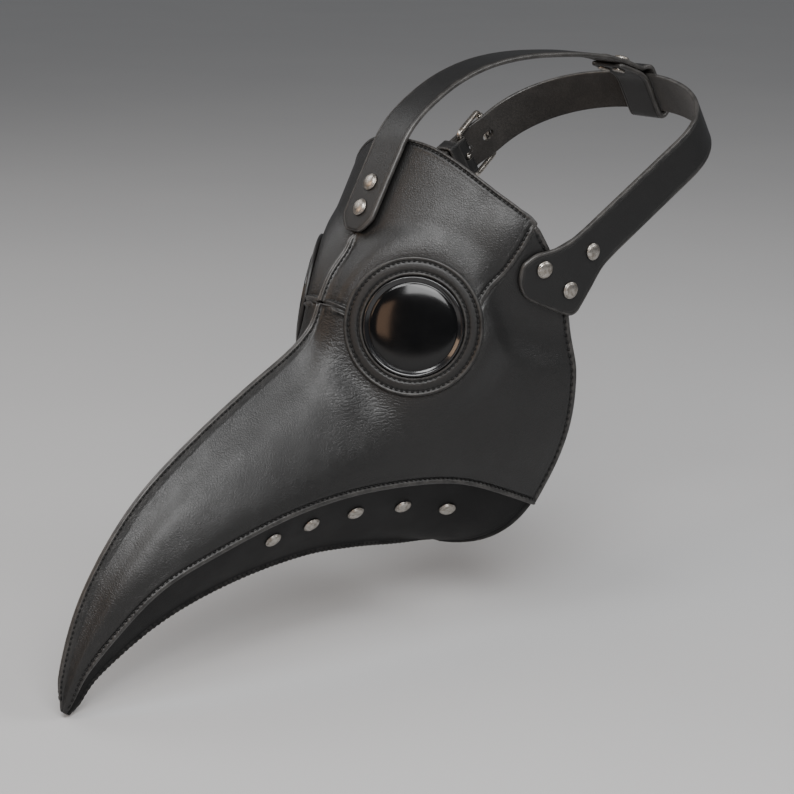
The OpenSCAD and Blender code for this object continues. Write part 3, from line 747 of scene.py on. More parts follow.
def antique(name, bright, dark, rough):
    """Antiqued nickel-brass: brushed high spots, darker patina, fine scratches."""
    made, tree, bsdf, at = new_material(name)
    patina = noise(tree, at, 420, 4, 0.65)
    speck = noise(tree, at, 1900, 3, 0.6)
    settings = {"Vector": at, "Rotation": (0.4, 0.9, 0.2), "Scale": (1.0, 0.06, 1.0)}
    scratch = noise(tree, add(tree, "Mapping", settings).outputs[0], 2600, 3, 0.7)
    colour = tinted(tree, ranged(tree, patina, 0.38, 0.66, 0, 1), bright, dark)
    colour = tinted(tree, ranged(tree, speck, 0.62, 0.78, 0, 0.6), colour, dark)
    polish = ranged(tree, patina, 0.3, 0.7, rough - 0.08, rough + 0.14)
    polish = plus(tree, polish, ranged(tree, scratch, 0.4, 0.65, -0.05, 0.08), True)
    height = times(tree, scratch, 0.5)
    height = plus(tree, height, times(tree, patina, 0.4))
    wired(tree, bsdf, {
        "Base Color": colour, "Roughness": polish, "Normal": bumped(tree, height, 0.07, 0.0003),
        "Metallic": 1.0,
    })
    return made


def polished(name, base, rough, coat, smear=0.05, gloss=0.5):
    """Gloss plastic or glass with faint smears."""
    made, tree, bsdf, at = new_material(name)
    film = noise(tree, at, 75, 4, 0.6)
    dust = noise(tree, at, 2400, 2, 0.5)
    polish = ranged(tree, film, 0.35, 0.75, rough, rough + smear)
    polish = plus(tree, polish, ranged(tree, dust, 0.68, 0.8, 0.0, 0.1), True)
    wired(tree, bsdf, {
        "Base Color": tinted(tree, ranged(tree, film, 0.3, 0.7, 0, 1), base, shade(base, 1.6)),
        "Roughness": polish, "Coat Weight": coat, "Coat Roughness": 0.03, "Specular IOR Level": gloss,
    })
    return made


def thread(name, base):
    """Waxed thread with a tight twist."""
    made, tree, bsdf, at = new_material(name)
    twist = noise(tree, at, 3200, 2, 0.5)
    tone = noise(tree, at, 300, 2)
    wired(tree, bsdf, {
        "Base Color": tinted(tree, ranged(tree, tone, 0.3, 0.7, 0, 1), base, shade(base, 1.8)),
        "Roughness": ranged(tree, twist, 0.3, 0.7, 0.5, 0.72),
        "Normal": bumped(tree, twist, 0.5, 0.0002), "Specular IOR Level": 0.3,
    })
    return made


BODY = leather("body_leather", (0.0088, 0.0086, 0.0084), 0.41, 1.35, 0.25, 0.08, 0.42, crease=1.05, sewn=True)
RING = leather("ring_leather", (0.009, 0.0087, 0.0084), 0.39, 1.0, 0.14, 0.06, 0.38, sewn=True)
# The chin leather is a darker, matter copy of the body leather; its darkness is painted shade under the beak.
SHADED_CHIN = leather("chin_leather", (0.0032, 0.0032, 0.0034), 0.58, 0.9, 0.18, 0.0, 0.22, (0.024, 0.023, 0.022))
BAND = leather("strap_leather", (0.0088, 0.0087, 0.0086), 0.42, 0.9, 0.15, 0.06, 0.36)
FLESH = flesh("flesh_side", (0.022, 0.0195, 0.0175))
EDGE = burnished("burnished_edge", (0.026, 0.0245, 0.023))
RIVET = antique("rivet_metal", (0.45, 0.425, 0.39), (0.25, 0.225, 0.195), 0.34)
BUCKLE = antique("buckle_metal", (0.44, 0.415, 0.38), (0.23, 0.2, 0.17), 0.3)
THREAD = thread("thread", (0.0018, 0.0018, 0.0018))
GLOSS = polished("bezel_gloss", (0.004, 0.004, 0.0045), 0.16, 0.5)
MATT = polished("retainer_matt", (0.012, 0.012, 0.012), 0.55, 0.0)
GLASS = polished("lens_glass", (0.0015, 0.0015, 0.0016), 0.12, 0.0, 0.03, gloss=0.42)

SIDES = (("left", False), ("right", True))
LEATHERS = (BODY, FLESH, EDGE)


def finish_piece(made, nodes, body="mask"):
    if nodes:
        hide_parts(*nodes)
    if body:
        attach(made, body)
    return made


def solid_piece(name, shape, material, slot, nodes, body="mask", **settings):
    """One closed piece from its points and faces, facing outward."""
    made = object_from(name, *shape, [material], **settings)
    outward(made)
    return finish_piece(made, nodes, body)


# ---------------------------------------------------------------- seam lines on the skin
HOLE_L, HOLE_R_UV = hole_uv(180.0), hole_uv(0.0)
BRIDGE_UV = mixed([BRIDGE_U, 0], HOLE_L, np.linspace(0, 1, 60))
BROW_SEAM_UV = mixed(HOLE_R_UV, [10, 3], np.linspace(0, 1, 90))
JAW_UV = np.stack([np.linspace(0, 10, 700), np.full(700, 6.0)], -1)
REAR_UV = np.stack([np.full(200, 10.0), np.linspace(3, 6, 200)], -1)
TOP_UV = np.stack([np.full(200, 10.0), np.linspace(0, 3, 200)], -1)
BRIDGE = skin(BRIDGE_UV)
BROW_SEAM = skin(BROW_SEAM_UV)
JAW = skin(JAW_UV)
REAR = skin(REAR_UV)
TOP = skin(TOP_UV)
RIDGE_U = np.linspace(0, 10, 500)
RIDGE = ridge(RIDGE_U)


def ridge_low(u):
    """How far the leather swells up at the foot of the ridge seam."""
    return 0.4 * ridge_h(u) * (1 - ease(8.2, 8.75, u))


def raised(p):
    """The swelling beside the ridge seam, at any point of the skin."""
    far, run = line_place(p, RIDGE)
    return ridge_low(np.interp(run, lengths(RIDGE), RIDGE_U)) * bell(far, 7.0)


# Distance of each row of stitches from its edge
JAW_ROW, REAR_ROW, TOP_ROW, BROW_ROW, WELT = 3.2, 3.0, 2.0, 2.6, 3.3


def stitch_row(edge_uv, inset, inside, drop, pitch, length, thick, slant, start):
    """A row of stitches on the skin, inset from an edge towards inside, outside the eye ring."""
    uv = offset_uv(edge_uv, inset, inside)
    normal = skin_n(uv)
    line = skin(uv)
    line = line + normal * (raised(line) - drop)[:, None]
    keep = np.linalg.norm(line - EYE_C, axis=1) > RING_R + 0.8
    return line[keep], normal[keep], pitch, length, thick, slant, start


tip_scale = 0.3 + 0.7 * ease(0, 1.6, JAW_UV[8:-6, 0])
# Each row gives its edge, inset and side, then drop, pitch, length, half thickness, slant and start
JAW_THREAD = stitch_row(JAW_UV[8:-6], JAW_ROW * tip_scale[:, None], [5, 5], 0.12, 2.9, 1.9, 0.6, 0.45, 1.0)
REAR_THREAD = stitch_row(REAR_UV[6:-8], REAR_ROW, [9, 4.5], 0.1, 4.0, 1.8, 0.65, 0.0, 2.0)
TOP_THREAD = stitch_row(TOP_UV[4:-6], TOP_ROW, [9, 1.5], 0.1, 2.7, 1.8, 0.52, 0.15, 1.6)
BROW_THREAD = stitch_row(BROW_SEAM_UV[:-3], BROW_ROW, [9, 1.5], 0.12, 2.8, 1.9, 0.55, 0.15, 0.8)
BRIDGE_THREADS = [
    stitch_row(BRIDGE_UV[8:], WELT, [inside, 1.0], 0.1, 2.6, 1.7, 0.4, 0.1, 0.6) for inside in (9, 7)
]


def stitch_marks(p, rows):
    """How near each point is to a row of stitches, and where it is along that row in stitches."""
    best, phase = np.full(p.shape[:-1], 1e9), np.zeros(p.shape[:-1])
    for line, _, pitch, _, _, _, start in rows:
        far, run = line_place(p, line)
        turn = (run - stitch_places(lengths(line)[-1], pitch, start)[0]) / pitch
        phase = np.where(far < best, turn, phase)
        best = np.minimum(best, far)
    return {"stitch": bell(best, 0.95), "phase": phase}


def welt(d):
    """Each side of the bridge seam: the leather turns up into a cord-like roll."""
    return 1.25 * bell(d - 1.75, 0.95) - 0.25 * bell(d - WELT, 0.5)


FOLD_ROWS = 10


def ridge_fold(u, start_p, start_n):
    """The turned-out seam at the ridge, from its top edge down to the skin at start_p."""
    up, tall = ridge_up(u), 0.6 * ridge_h(u)
    foot = ridge(u) + up * ridge_low(u)[..., None]
    start_p = start_p + start_n * raised(start_p)[..., None]
    scale = 0.45 + 0.55 * ease(0, 1.2, u)
    across = np.stack([SEAM_T * scale + 0 * u, 0 * u, 0 * u], -1)
    sidewise = np.zeros_like(foot)
    sidewise[..., 0] = 1.0
    bend_h = np.minimum(1.0 * scale, 0.45 * tall)
    points, normals, thick = [], [], []
    for k in range(6):
        h = (tall - 0.5) + (bend_h - tall + 0.5) * k / 5
        points.append(foot + up * h[..., None] + across)
        normals.append(sidewise)
        thick.append((SEAM_T - GAP) * scale)
    a, c = foot + up * bend_h[..., None] + across, start_p
    b = foot + across * 1.1 + (start_p - foot) * 0.12
    full = LEATHER * thin(u)
    for t in (0.25, 0.5, 0.72, 0.88):
        points.append((1 - t) ** 2 * a + 2 * t * (1 - t) * b + t * t * c)
        normals.append(unit(sidewise * (1 - t) + start_n * t))
        thick.append((SEAM_T - GAP) * scale * (1 - t) + full * t)
    return np.stack(points, 1), np.stack(normals, 1), np.stack(thick, 1)


TIP = np.array([0.0, -223.5, -182.0])


def pointed(p):
    """Draws the end of the beak in to a point."""
    reach = np.linalg.norm(p - TIP, axis=-1)
    return TIP + (p - TIP) * (0.3 + 0.7 * ease(0, 12, reach))[..., None]


def clear_of_middle(p):
    """Keeps the left half off the middle plane, where the right half meets it."""
    q = pointed(p)
    q[..., 0] = np.maximum(q[..., 0], GAP * 0.8)
    return q


NEAR = [0.0, 0.45, 0.9, 1.4, 1.9, 2.4, 2.9, 3.4, 3.9, 4.4, 5.0, 5.8, 7.0]
HEM_NEAR = [1.0, 1.25, 1.5, 1.75, 2.0, 2.3, 2.6, 2.9, 3.2, 3.5, 3.9, 4.5, 5.3, 6.5, 8.5]
SEAM_NEAR = [0.95, 1.25, 1.55, 1.85, 2.15, 2.45, 2.75, 3.05, 3.4, 3.8, 4.5, 5.5, 7.0]


def crease_of(p):
    """Where the leather wrinkles: beside the nose, under the eye, where the beak meets the face."""
    r = np.linalg.norm(p - EYE_C, axis=-1)
    near = bell(r - 47, 15.0)
    return near * ease(0, 20, -(p - EYE_C) @ (EYE_X * 0.7 + EYE_Y * 0.7)) * ease(2, 9, p[..., 0])


def beak_sheet(name, mirror):
    dense = np.linspace(0, 1, 90)
    columns = []
    for k in range(150):
        t = k / 149 * (1 - 0.9 / 30 / BRIDGE_U)
        columns.append(("ridge", mixed([BRIDGE_U * t, 0], [7 * t, 6], dense)))
    for k in range(1, 22):
        t = (k / 21) ** 0.8
        top = mixed([BRIDGE_U, 0], HOLE_L, np.array(0.12 + 0.88 * t))
        columns.append(("seam", mixed(top, [7 + 0.25 * t, 6], dense)))
    for k in range(1, 49):
        columns.append(("seam", mixed(hole_uv(180 + 180 * k / 48), [7.25 + 1.9 * k / 48, 6], dense)))
    block = np.stack([
        mixed(mixed(HOLE_R_UV, [10, 3], np.array(k)), [9.15 + 0.85 * k, 6], dense)
        for k in np.linspace(0, 1, 60)
    ])
    block = np.stack([respace(block[:, j], [0, 1.5, 3.0], HEM_NEAR, 14) for j in range(block.shape[1])], 1)
    columns += [("seam", block[k]) for k in range(1, block.shape[0])]
    outer, normal, thick, kinds = [], [], [], []
    for kind, uv in columns:
        start = [3.2 + 0.9 * d for d in NEAR] if kind == "ridge" else SEAM_NEAR
        q = respace(uv, start, HEM_NEAR, 34)
        p, n = skin(q), skin_n(q)
        t = LEATHER * thin(q[:, 0])
        if kind == "ridge":
            u = np.array([uv[0, 0]])
            fp, fn, ft = ridge_fold(u, p[:1], n[:1])
            fp, fn, ft = fp[0], fn[0], ft[0]
        else:
            fp, fn, ft = (np.repeat(a[:1], FOLD_ROWS, 0) for a in (p, n, t))
        outer.append(np.concatenate([fp, p]))
        normal.append(np.concatenate([fn, n]))
        thick.append(np.concatenate([ft, t]))
        kinds.append(kind)
    outer, normal, thick = np.stack(outer), np.stack(normal), np.stack(thick)
    on_ridge = np.array([k == "ridge" for k in kinds])[:, None]
    jaw, rear = line_distance(outer, JAW), line_distance(outer, REAR)
    bridge, seam = line_distance(outer, BRIDGE), line_distance(outer, BROW_SEAM)
    free = np.ones_like(thick)
    free[:, :FOLD_ROWS] = np.where(on_ridge, 0.0, 1.0)
    tip = 0.3 + 0.7 * ease(0.0, 40.0, np.linalg.norm(outer - JAW[0], axis=-1))
    row = np.where(rear < jaw, REAR_ROW, JAW_ROW * tip)
    edge = np.minimum(jaw, rear)
    proud = hem(edge, row, np.where(rear < jaw, 0.5, 0.95 * tip), np.where(rear < jaw, 0.35, 0.55 * tip))
    proud = proud + welt(bridge) - 0.45 * (1 - ease(0.8, 3.0, seam))
    proud = proud + raised(outer) + nose_fill(outer)
    proud = (proud + ripple(outer) * ease(3, 14, np.minimum(edge, seam))) * free
    # Lips of the hems and crests of the welt are lighter: wear and painted sheen.
    wear = np.maximum(lip_wear_and_sheen(edge, row), 0.8 * bell(bridge - 1.7, 0.8)) * free
    # The top of the ridge fold is lighter: wear and a painted highlight on its crest.
    fold_wear_and_sheen = np.where(on_ridge, np.linspace(0.9, 0.1, FOLD_ROWS)[None], 0)
    wear[:, :FOLD_ROWS] = np.maximum(wear[:, :FOLD_ROWS], fold_wear_and_sheen)
    marks = stitch_marks(outer, [JAW_THREAD, REAR_THREAD, BRIDGE_THREADS[1]])
    marks["stitch"] = marks["stitch"] * free
    looks = {"wear": wear, "crease": crease_of(outer), **marks}
    return sheet(name, outer, normal, thick, LEATHERS, proud, looks, clear_of_middle, mirror)


def brow_sheet(name, mirror):
    low = np.concatenate([
        mixed([BRIDGE_U, 0], HOLE_L, np.linspace(0, 1, 40))[:-1],
        hole_uv(180 - 180 * np.linspace(0, 1, 90))[:-1],
        mixed(HOLE_R_UV, [10, 3], np.linspace(0, 1, 70)),
    ])
    top_v = np.concatenate([
        0.55 * np.linspace(0, 1, 40)[:-1],
        0.55 + 1.7 * np.linspace(0, 1, 90)[:-1],
        2.25 + 0.62 * np.linspace(0, 1, 70),
    ])
    top = np.stack([np.full(len(top_v), 10.0), top_v], -1)
    dense = np.linspace(0, 1, 70)
    grid = np.stack([mixed(low[k], top[k], dense) for k in range(len(low))])
    near = [0.0] + [3.2 + 0.9 * d for d in NEAR]
    rows = [respace(grid[:, j], near, [0, 1.0, 2.2], 70) for j in range(grid.shape[1])]
    uv = np.stack([respace(column, SEAM_NEAR, HEM_NEAR, 26) for column in np.stack(rows, 1)[1:]])
    outer, normal = skin(uv), skin_n(uv)
    thick = np.full(uv.shape[:2], LEATHER)
    u = uv[0, :, 0]
    fp, fn, ft = ridge_fold(u, outer[0], normal[0])
    outer = np.concatenate([np.swapaxes(fp, 0, 1), outer])
    normal = np.concatenate([np.swapaxes(fn, 0, 1), normal])
    thick = np.concatenate([np.swapaxes(ft, 0, 1), thick])
    bridge, seam, edge = (line_distance(outer, c) for c in (BRIDGE, BROW_SEAM, TOP))
    free = np.ones_like(thick)
    free[:FOLD_ROWS] = np.linspace(0, 1, FOLD_ROWS)[:, None] ** 3
    proud = np.where(edge < 9, hem(edge, TOP_ROW, 0.6, 0.4), 0.0) + welt(bridge)
    proud = proud + np.where(seam < 9, hem(seam, BROW_ROW, 0.85, 0.5), 0.0) * ease(1.0, 4.0, edge)
    proud = (proud + ripple(outer) * ease(3, 14, np.minimum(edge, seam))) * free
    proud[FOLD_ROWS:] += raised(outer[FOLD_ROWS:])
    # Lips of the hems and crests of the welt are lighter: wear and painted sheen.
    wear = np.maximum(lip_wear_and_sheen(edge, TOP_ROW), lip_wear_and_sheen(seam, BROW_ROW))
    wear = np.maximum(wear, 0.8 * bell(bridge - 1.7, 0.8)) * free
    wear[:FOLD_ROWS] = np.maximum(wear[:FOLD_ROWS], np.linspace(0.9, 0.1, FOLD_ROWS)[:, None])
    marks = stitch_marks(outer, [TOP_THREAD, BROW_THREAD, BRIDGE_THREADS[0]])
    marks["stitch"] = marks["stitch"] * free
    looks = {"wear": wear, "crease": crease_of(outer) * 0.6, **marks}
    return sheet(name, outer, normal, thick, LEATHERS, proud, looks, clear_of_middle, mirror)


def jaw_uv(u, v=6):
    return np.stack([u, 0 * u + v], -1)


def jaw_under(u):
    """The flesh side of the beak panel along the jaw seam, where the chin panel joins it."""
    q = jaw_uv(u)
    return skin(q) - skin_n(q) * (LEATHER * thin(u) + 0.25)[..., None]


KEEL_PITCH = 3.2


def keel_at(u):
    return along(KEEL, u)


def chin(u, w):
    p = mixed(jaw_under(u), keel_at(u) + [SEAM_T, 0, 0], w)
    out = np.array([0.25, 0.35, -0.9])
    return p + (along(BELLY, u) * 4 * w * (1 - w))[..., None] * out


def chin_normal(u, w, e=0.02):
    a = chin(u + e, w) - chin(u - e, w)
    b = chin(u, w + e) - chin(u, w - e)
    return unit(np.cross(b, a))


def keel_down(u):
    t = unit(keel_at(u + 0.02) - keel_at(u - 0.02))
    return np.stack([0 * u, t[..., 2], -t[..., 1]], -1)


def keel_h(u):
    """Height of the turned-down seam under the chin: scalloped by its whip stitches, gone at the rear."""
    run = np.interp(u, np.linspace(0, 10, 400), lengths(keel_at(np.linspace(0, 10, 400))))
    scallop = 1 + 0.1 * np.cos(2 * np.pi * run / KEEL_PITCH)
    return SEAM_H * 0.7 * thin(u) * (1 - 0.85 * ease(8.0, 10.0, u)) * scallop


def chin_sheet(name, mirror):
    u = np.concatenate([np.linspace(0, 1, 62)[:-1], np.linspace(1, 9.9, 420), [9.94, 9.97]])
    rows, thick = [], []
    full = LEATHER * thin(u)
    edge, above = skin(jaw_uv(u)), skin(jaw_uv(u, 5))
    reach = np.minimum(0.8, 7 / np.linalg.norm(edge - above, axis=-1))
    for t in (1.0, 0.75, 0.5, 0.25):
        q = np.stack([u, 6 - reach * t], -1)
        rows.append(skin(q) - skin_n(q) * (full + 0.25)[..., None])
        thick.append(full * 0.8)
    for w in np.linspace(0, 1, 26)[:-2]:
        rows.append(chin(u, 0 * u + w))
        thick.append(full)
    scale = 0.55 + 0.45 * ease(0, 1.5, u)
    a, b = chin(u, 0 * u + 0.955), keel_at(u) + [SEAM_T, 0, 0]
    tall = keel_h(u)
    c = b + keel_down(u) * np.minimum(1.3, tall * 0.45)[..., None]
    for t in (0.25, 0.5, 0.75, 1.0):
        rows.append((1 - t) ** 2 * a + 2 * t * (1 - t) * b + t * t * c)
        thick.append(full * (1 - t) + (SEAM_T - GAP) * t)
    for t in (0.3, 0.6, 0.85):
        rows.append(c + (b + keel_down(u) * tall[..., None] - c) * t)
        thick.append(0 * u + SEAM_T - GAP)
    outer = np.stack(rows, 1)
    thick = np.stack(thick, 1)
    normal = unit(np.cross(np.gradient(outer, axis=1), np.gradient(outer, axis=0)))
    normal[:, -3:] = [1, 0, 0]
    normal[:, -4] = unit(normal[:, -4] + np.array([1.5, 0, 0]))
    rear = line_distance(outer, chin(0 * np.linspace(0, 1, 60) + 10, np.linspace(0, 1, 60)))
    proud = np.where(rear < 9, hem(rear, REAR_ROW, 0.8, 0.3), 0.0)
    proud[:, -7:] = 0
    # The hem lip and the keel seam are lighter: wear and painted sheen.
    wear = lip_wear_and_sheen(rear, REAR_ROW)
    wear[:, -5:] = 0.9
    leathers = (SHADED_CHIN, FLESH, EDGE)
    return sheet(name, outer, normal, thick, leathers, proud, {"wear": wear}, clear_of_middle, mirror)


for side, flip in SIDES:
    finish_piece(beak_sheet("beak_leather_" + side, flip), ["beak_panel_" + side])
    finish_piece(brow_sheet("brow_leather_" + side, flip), ["brow_panel_" + side])
    finish_piece(chin_sheet("chin_leather_" + side, flip), ["chin_panel_" + side])

# ---------------------------------------------------------------- goggles
RING_PROFILE = rounded([
    [27.3, 0.15], [36.9, 0.15], [RING_R, 0.5], [RING_R + 0.2, 1.4], [RING_R, 2.2], [RING_R - 0.7, 2.75],
    [RING_R - 1.5, 2.65], [RING_R - 2.2, 2.15], [RING_R - 2.6, 1.9], [RING_R - 3.0, 2.15], [33.9, 2.45],
    [32.2, 2.6], [30.6, 2.6], [30.1, 2.35], [29.7, 2.05], [29.3, 2.35], [28.9, 2.75], [28.3, 2.9],
    [27.7, 2.75], [27.3, 2.3],
], 0.5, 2)
OUTER_STITCH, INNER_STITCH = RING_R - 2.6, 29.7
RING_STITCHES = {OUTER_STITCH: 76, INNER_STITCH: 66}


def ring_shape(r, h, angle):
    """The thread pulls the ring down between raised runs of leather."""
    out = 0 * r
    for radius, count in RING_STITCHES.items():
        near = bell(r - radius, 0.9) * (h > 1.2)
        out = out - 0.13 * near * (0.5 + 0.5 * np.cos(angle * count))
    return out + 0.05 * np.sin(3 * angle + 1) * (h > 1.2)


BEZEL_PROFILE = rounded([
    [24.6, -5.4], [25.2, -5.4], [25.2, 0.1], [27.0, 0.1], [27.1, 3.3], [26.9, 4.1], [26.4, 4.5], [25.8, 4.4],
    [24.9, 3.7], [23.85, 3.1], [23.8, 2.9], [24.6, 2.85],
], 0.3, 3)
dome = [[24.5, 0.9], [24.5, 2.8], [23.7, 2.95]]
dome += [[23.6 * math.sin(math.radians(a)), 2.6 + 3.0 * math.cos(math.radians(a))] for a in range(84, 0, -6)]
dome += [[0.0, 5.6], [0.0, 3.6]]
dome += [[23.0 * math.sin(math.radians(a)), 0.6 + 3.0 * math.cos(math.radians(a))] for a in range(12, 84, 12)]
LENS_PROFILE = np.array(dome)


def ring_marks(profile, steps):
    """Stitch marks on the turned ring, and its lips lightened as wear and painted sheen, point by point as
    lathe_points orders them.
    """
    turn = np.arange(steps)[:, None] / steps
    radius = profile[None, :, 0]
    far = np.stack([np.abs(radius - r) + 9 * (profile[None, :, 1] < 1.2) for r in RING_STITCHES])
    count = np.array(list(RING_STITCHES.values()))[far.argmin(0)]
    lip = bell(radius - RING_R + 1.0, 0.9) + bell(radius - 28.3, 0.7)
    return {
        "stitch": (bell(far.min(0), 0.9) + 0 * turn).reshape(-1),
        "phase": (turn * count).reshape(-1),
        "wear": (0.7 * lip * (profile[None, :, 1] > 1.2) + 0 * turn).reshape(-1),
    }


def eye_thread(radius, count, height):
    a = np.linspace(0, 2 * np.pi, 600)
    centre = EYE_C + EYE_N * height
    line = centre + np.outer(np.cos(a), EYE_X) * radius + np.outer(np.sin(a), EYE_Y) * radius
    pitch = 2 * math.pi * radius / count
    normal = np.broadcast_to(EYE_N, line.shape)
    return thread_points(line, normal, pitch * 0.9995, pitch * 0.64, 0.58, 0.12, pitch * 0.25)


for side, flip in SIDES:
    turn = mirrored if flip else np.asarray

    def lathe_piece(name, profile, steps, material, slot, node, shape=None, **settings):
        p, f = lathe_points(profile, steps, EYE_C, EYE_N, shape)
        solid_piece(name + side, (turn(p), f), material, slot, [node + side], **settings)

    lathe_piece("eye_ring_leather_", RING_PROFILE, 288, RING, "ring_leather", "eye_ring_", ring_shape,
                attributes=ring_marks(RING_PROFILE, 288))
    lathe_piece("bezel_gloss_", BEZEL_PROFILE, 128, GLOSS, "bezel", "lens_bezel_", sharp=50)
    lathe_piece("lens_dome_", LENS_PROFILE, 128, GLASS, "lens", "lens_", sharp=50)
    p, f = joined([eye_thread(radius, count, 2.05) for radius, count in RING_STITCHES.items()])
    finish_piece(object_from("ring_stitches_" + side, turn(p), f, [THREAD]), [])
    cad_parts["lens_retainer_" + side].data.materials.clear()
    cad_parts["lens_retainer_" + side].data.materials.append(MATT)


# ---------------------------------------------------------------- stitches on the seams
def ridge_thread(u0, u1):
    u = np.linspace(u0, u1, 500)
    scale = 0.45 + 0.55 * ease(0, 1.2, u)
    across = np.stack([SEAM_T * scale + 0.12, 0 * u, 0 * u], -1)
    line = ridge(u) + ridge_up(u) * (ridge_low(u) + 0.33 * ridge_h(u))[:, None] + across
    return thread_points(line, np.broadcast_to([1.0, 0, 0], line.shape), 2.9, 1.9, 0.58, 0.0, 1.5)


def keel_thread(u0, u1):
    u = np.linspace(u0, u1, 500)
    line = keel_at(u) + keel_down(u) * (keel_h(u) * 0.55)[:, None] + [SEAM_T + 0.12, 0, 0]
    return thread_points(line, np.broadcast_to([1.0, 0, 0], line.shape), KEEL_PITCH, 2.2, 0.45, 0.8, 1.5)


for side, flip in SIDES:
    turn = mirrored if flip else np.asarray
    rows = {
        "ridge_stitches_": [ridge_thread(0.12, BRIDGE_U - 0.05), ridge_thread(BRIDGE_U + 0.08, 8.78)],
        "jaw_stitches_": [thread_points(*JAW_THREAD)],
        "rear_stitches_": [thread_points(*REAR_THREAD)],
        "brow_stitches_": [thread_points(*TOP_THREAD), thread_points(*BROW_THREAD)],
        "bridge_stitches_": [thread_points(*row) for row in BRIDGE_THREADS],
        "keel_stitches_": [keel_thread(0.25, 8.8)],
    }
    for name, parts in rows.items():
        p, f = joined(parts)
        finish_piece(object_from(name + side, turn(pointed(p)), f, [THREAD]), [])


# ---------------------------------------------------------------- straps
def in_strap(x, s, m):
    """Frame coordinates of a place on the strap: outward, along it and across it."""
    return np.stack([
        x + 0 * s,
        TAB_Y + s * math.cos(SLOPE) - m * math.sin(SLOPE),
        TAB_Z + s * math.sin(SLOPE) + m * math.cos(SLOPE),
    ], -1)


ACROSS = [0.9, 1.15, 1.45, 1.75, 2.0, 2.25, 2.55, 2.9, 3.6]
TAB_TOP = [[-27, 4], [-26.6, 12], [-22, 19.4], [-17, 20.8], [-12, 20.6], [-6, 18.2], [0, 16], [7, 14.3],
           [14, 13.4], [24, 13], [36, 13]]
TAB_LOW = [[-27, 4], [-25, -1.5], [-20, -9], [-14, -17.5], [-9, -23.6], [-5, -24.8], [-1, -23.3], [5, -20.6],
           [11, -18.2], [18, -15.4], [25, -13.6], [36, -13]]


def smooth_line(points, count):
    points = np.array(points, float)
    return resampled(along(points, np.linspace(0, len(points) - 1, 400)), count=count)


def cross_lines(top, low, middle=9):
    """Grid of (along, across) places between two border lines, finer towards the borders."""
    lines = []
    for a, b in zip(low, top):
        length = np.linalg.norm(b - a)
        t = spaced(length, ACROSS, ACROSS, middle) / max(length, 1e-9)
        lines.append(a + (b - a) * t[:, None])
    return np.array(lines)


def tab_lines():
    first = np.linspace(0, 1, 64)[1:]
    top, low = smooth_line(TAB_TOP, 200), smooth_line(TAB_LOW, 200)
    return cross_lines(*(looked_up(first, np.linspace(0, 1, 200), line) for line in (top, low)))


def lift(s):
    return (STRAP + 0.4) * (1 - ease(84, 106, s))


def band_places(half):
    """Places across a band, from edge to edge, for each half width along it."""
    return cross_lines(np.stack([0 * half, half], -1), np.stack([0 * half, -half], -1))[..., 1]


def facing(mid, place, towards, step=None):
    """Unit normals of a grid, turned so that the one at a given place points towards a direction."""
    step = np.gradient(mid, axis=0) if step is None else step
    normal = unit(np.cross(step, np.gradient(mid, axis=1)))
    return -normal if normal[place] @ np.array(towards) < 0 else normal


def strap_sheet(name, tab, path, half, thick, orient):
    """tab: grid of (along, across) on the temple; path: centre line (outward, along) after it."""
    o = strap_x(tab[..., 0]) + STRAP / 2
    m = band_places(half)
    band = in_strap(path[:, None, 0] + 0 * m, path[:, None, 1] + 0 * m, m)
    mid = np.concatenate([in_strap(orient * o, tab[..., 0], tab[..., 1]), band])
    normal = facing(mid, (len(tab) // 2, 10), (orient, 0.0, 0.0))
    thick = np.concatenate([np.full(len(tab), STRAP), thick])[:, None] + 0 * mid[..., 0]
    return band_sheet(name, mid, normal, thick)


def band_sheet(name, mid, normal, thick, **settings):
    """A strap: rubbed along its edges and lighter there as wear and painted sheen, with a creased line just
    inside them.
    """
    edge = np.minimum(np.linalg.norm(mid - mid[:, :1], axis=-1), np.linalg.norm(mid - mid[:, -1:], axis=-1))
    line = bell(edge - 1.1, 0.35)
    wear = 0.9 * (1 - ease(0.2, 1.0, edge)) + 0.25 * bell(edge - 1.6, 0.4)
    outer = mid + normal * (np.asarray(thick) / 2)[..., None]
    return sheet(name, outer, normal, thick, (BAND, FLESH, EDGE), -0.22 * line, {"wear": wear}, **settings)


def cut(made, cutters):
    """Cuts shapes out of a closed piece."""
    for p, f in cutters:
        tool = object_from("cutter", p, f, [EDGE])
        outward(tool)
        step = made.modifiers.new("cut", "BOOLEAN")
        step.operation, step.solver, step.object = "DIFFERENCE", "EXACT", tool
        bpy.context.view_layer.update()
        result = bpy.data.meshes.new_from_object(made.evaluated_get(bpy.context.evaluated_depsgraph_get()))
        made.modifiers.clear()
        old, made.data = made.data, result
        bpy.data.meshes.remove(old)
        bpy.data.objects.remove(tool)
    made.data.set_sharp_from_angle(angle=math.radians(42))
    return made


def slot_cutter(o, s, length, radius):
    """A slot with round ends, as a cutter that goes right through the strap."""
    a = np.linspace(-90, 90, 9)
    half = length / 2 - radius
    ends = []
    for way in (1, -1):
        for t in np.radians(a):
            ends.append([s + way * (half + radius * math.cos(t)), way * radius * math.sin(t)])
    ends = np.array(ends)
    low, high = in_strap(o - 9, ends[:, 0], ends[:, 1]), in_strap(o + 9, ends[:, 0], ends[:, 1])
    points = np.concatenate([low, high, [low.mean(0)], [high.mean(0)]])
    n = len(ends)
    faces = []
    for k in range(n):
        j = (k + 1) % n
        faces += [[k, j, n + j, n + k], [j, k, 2 * n, 2 * n], [n + k, n + j, 2 * n + 1, 2 * n + 1]]
    return points, np.array(faces)


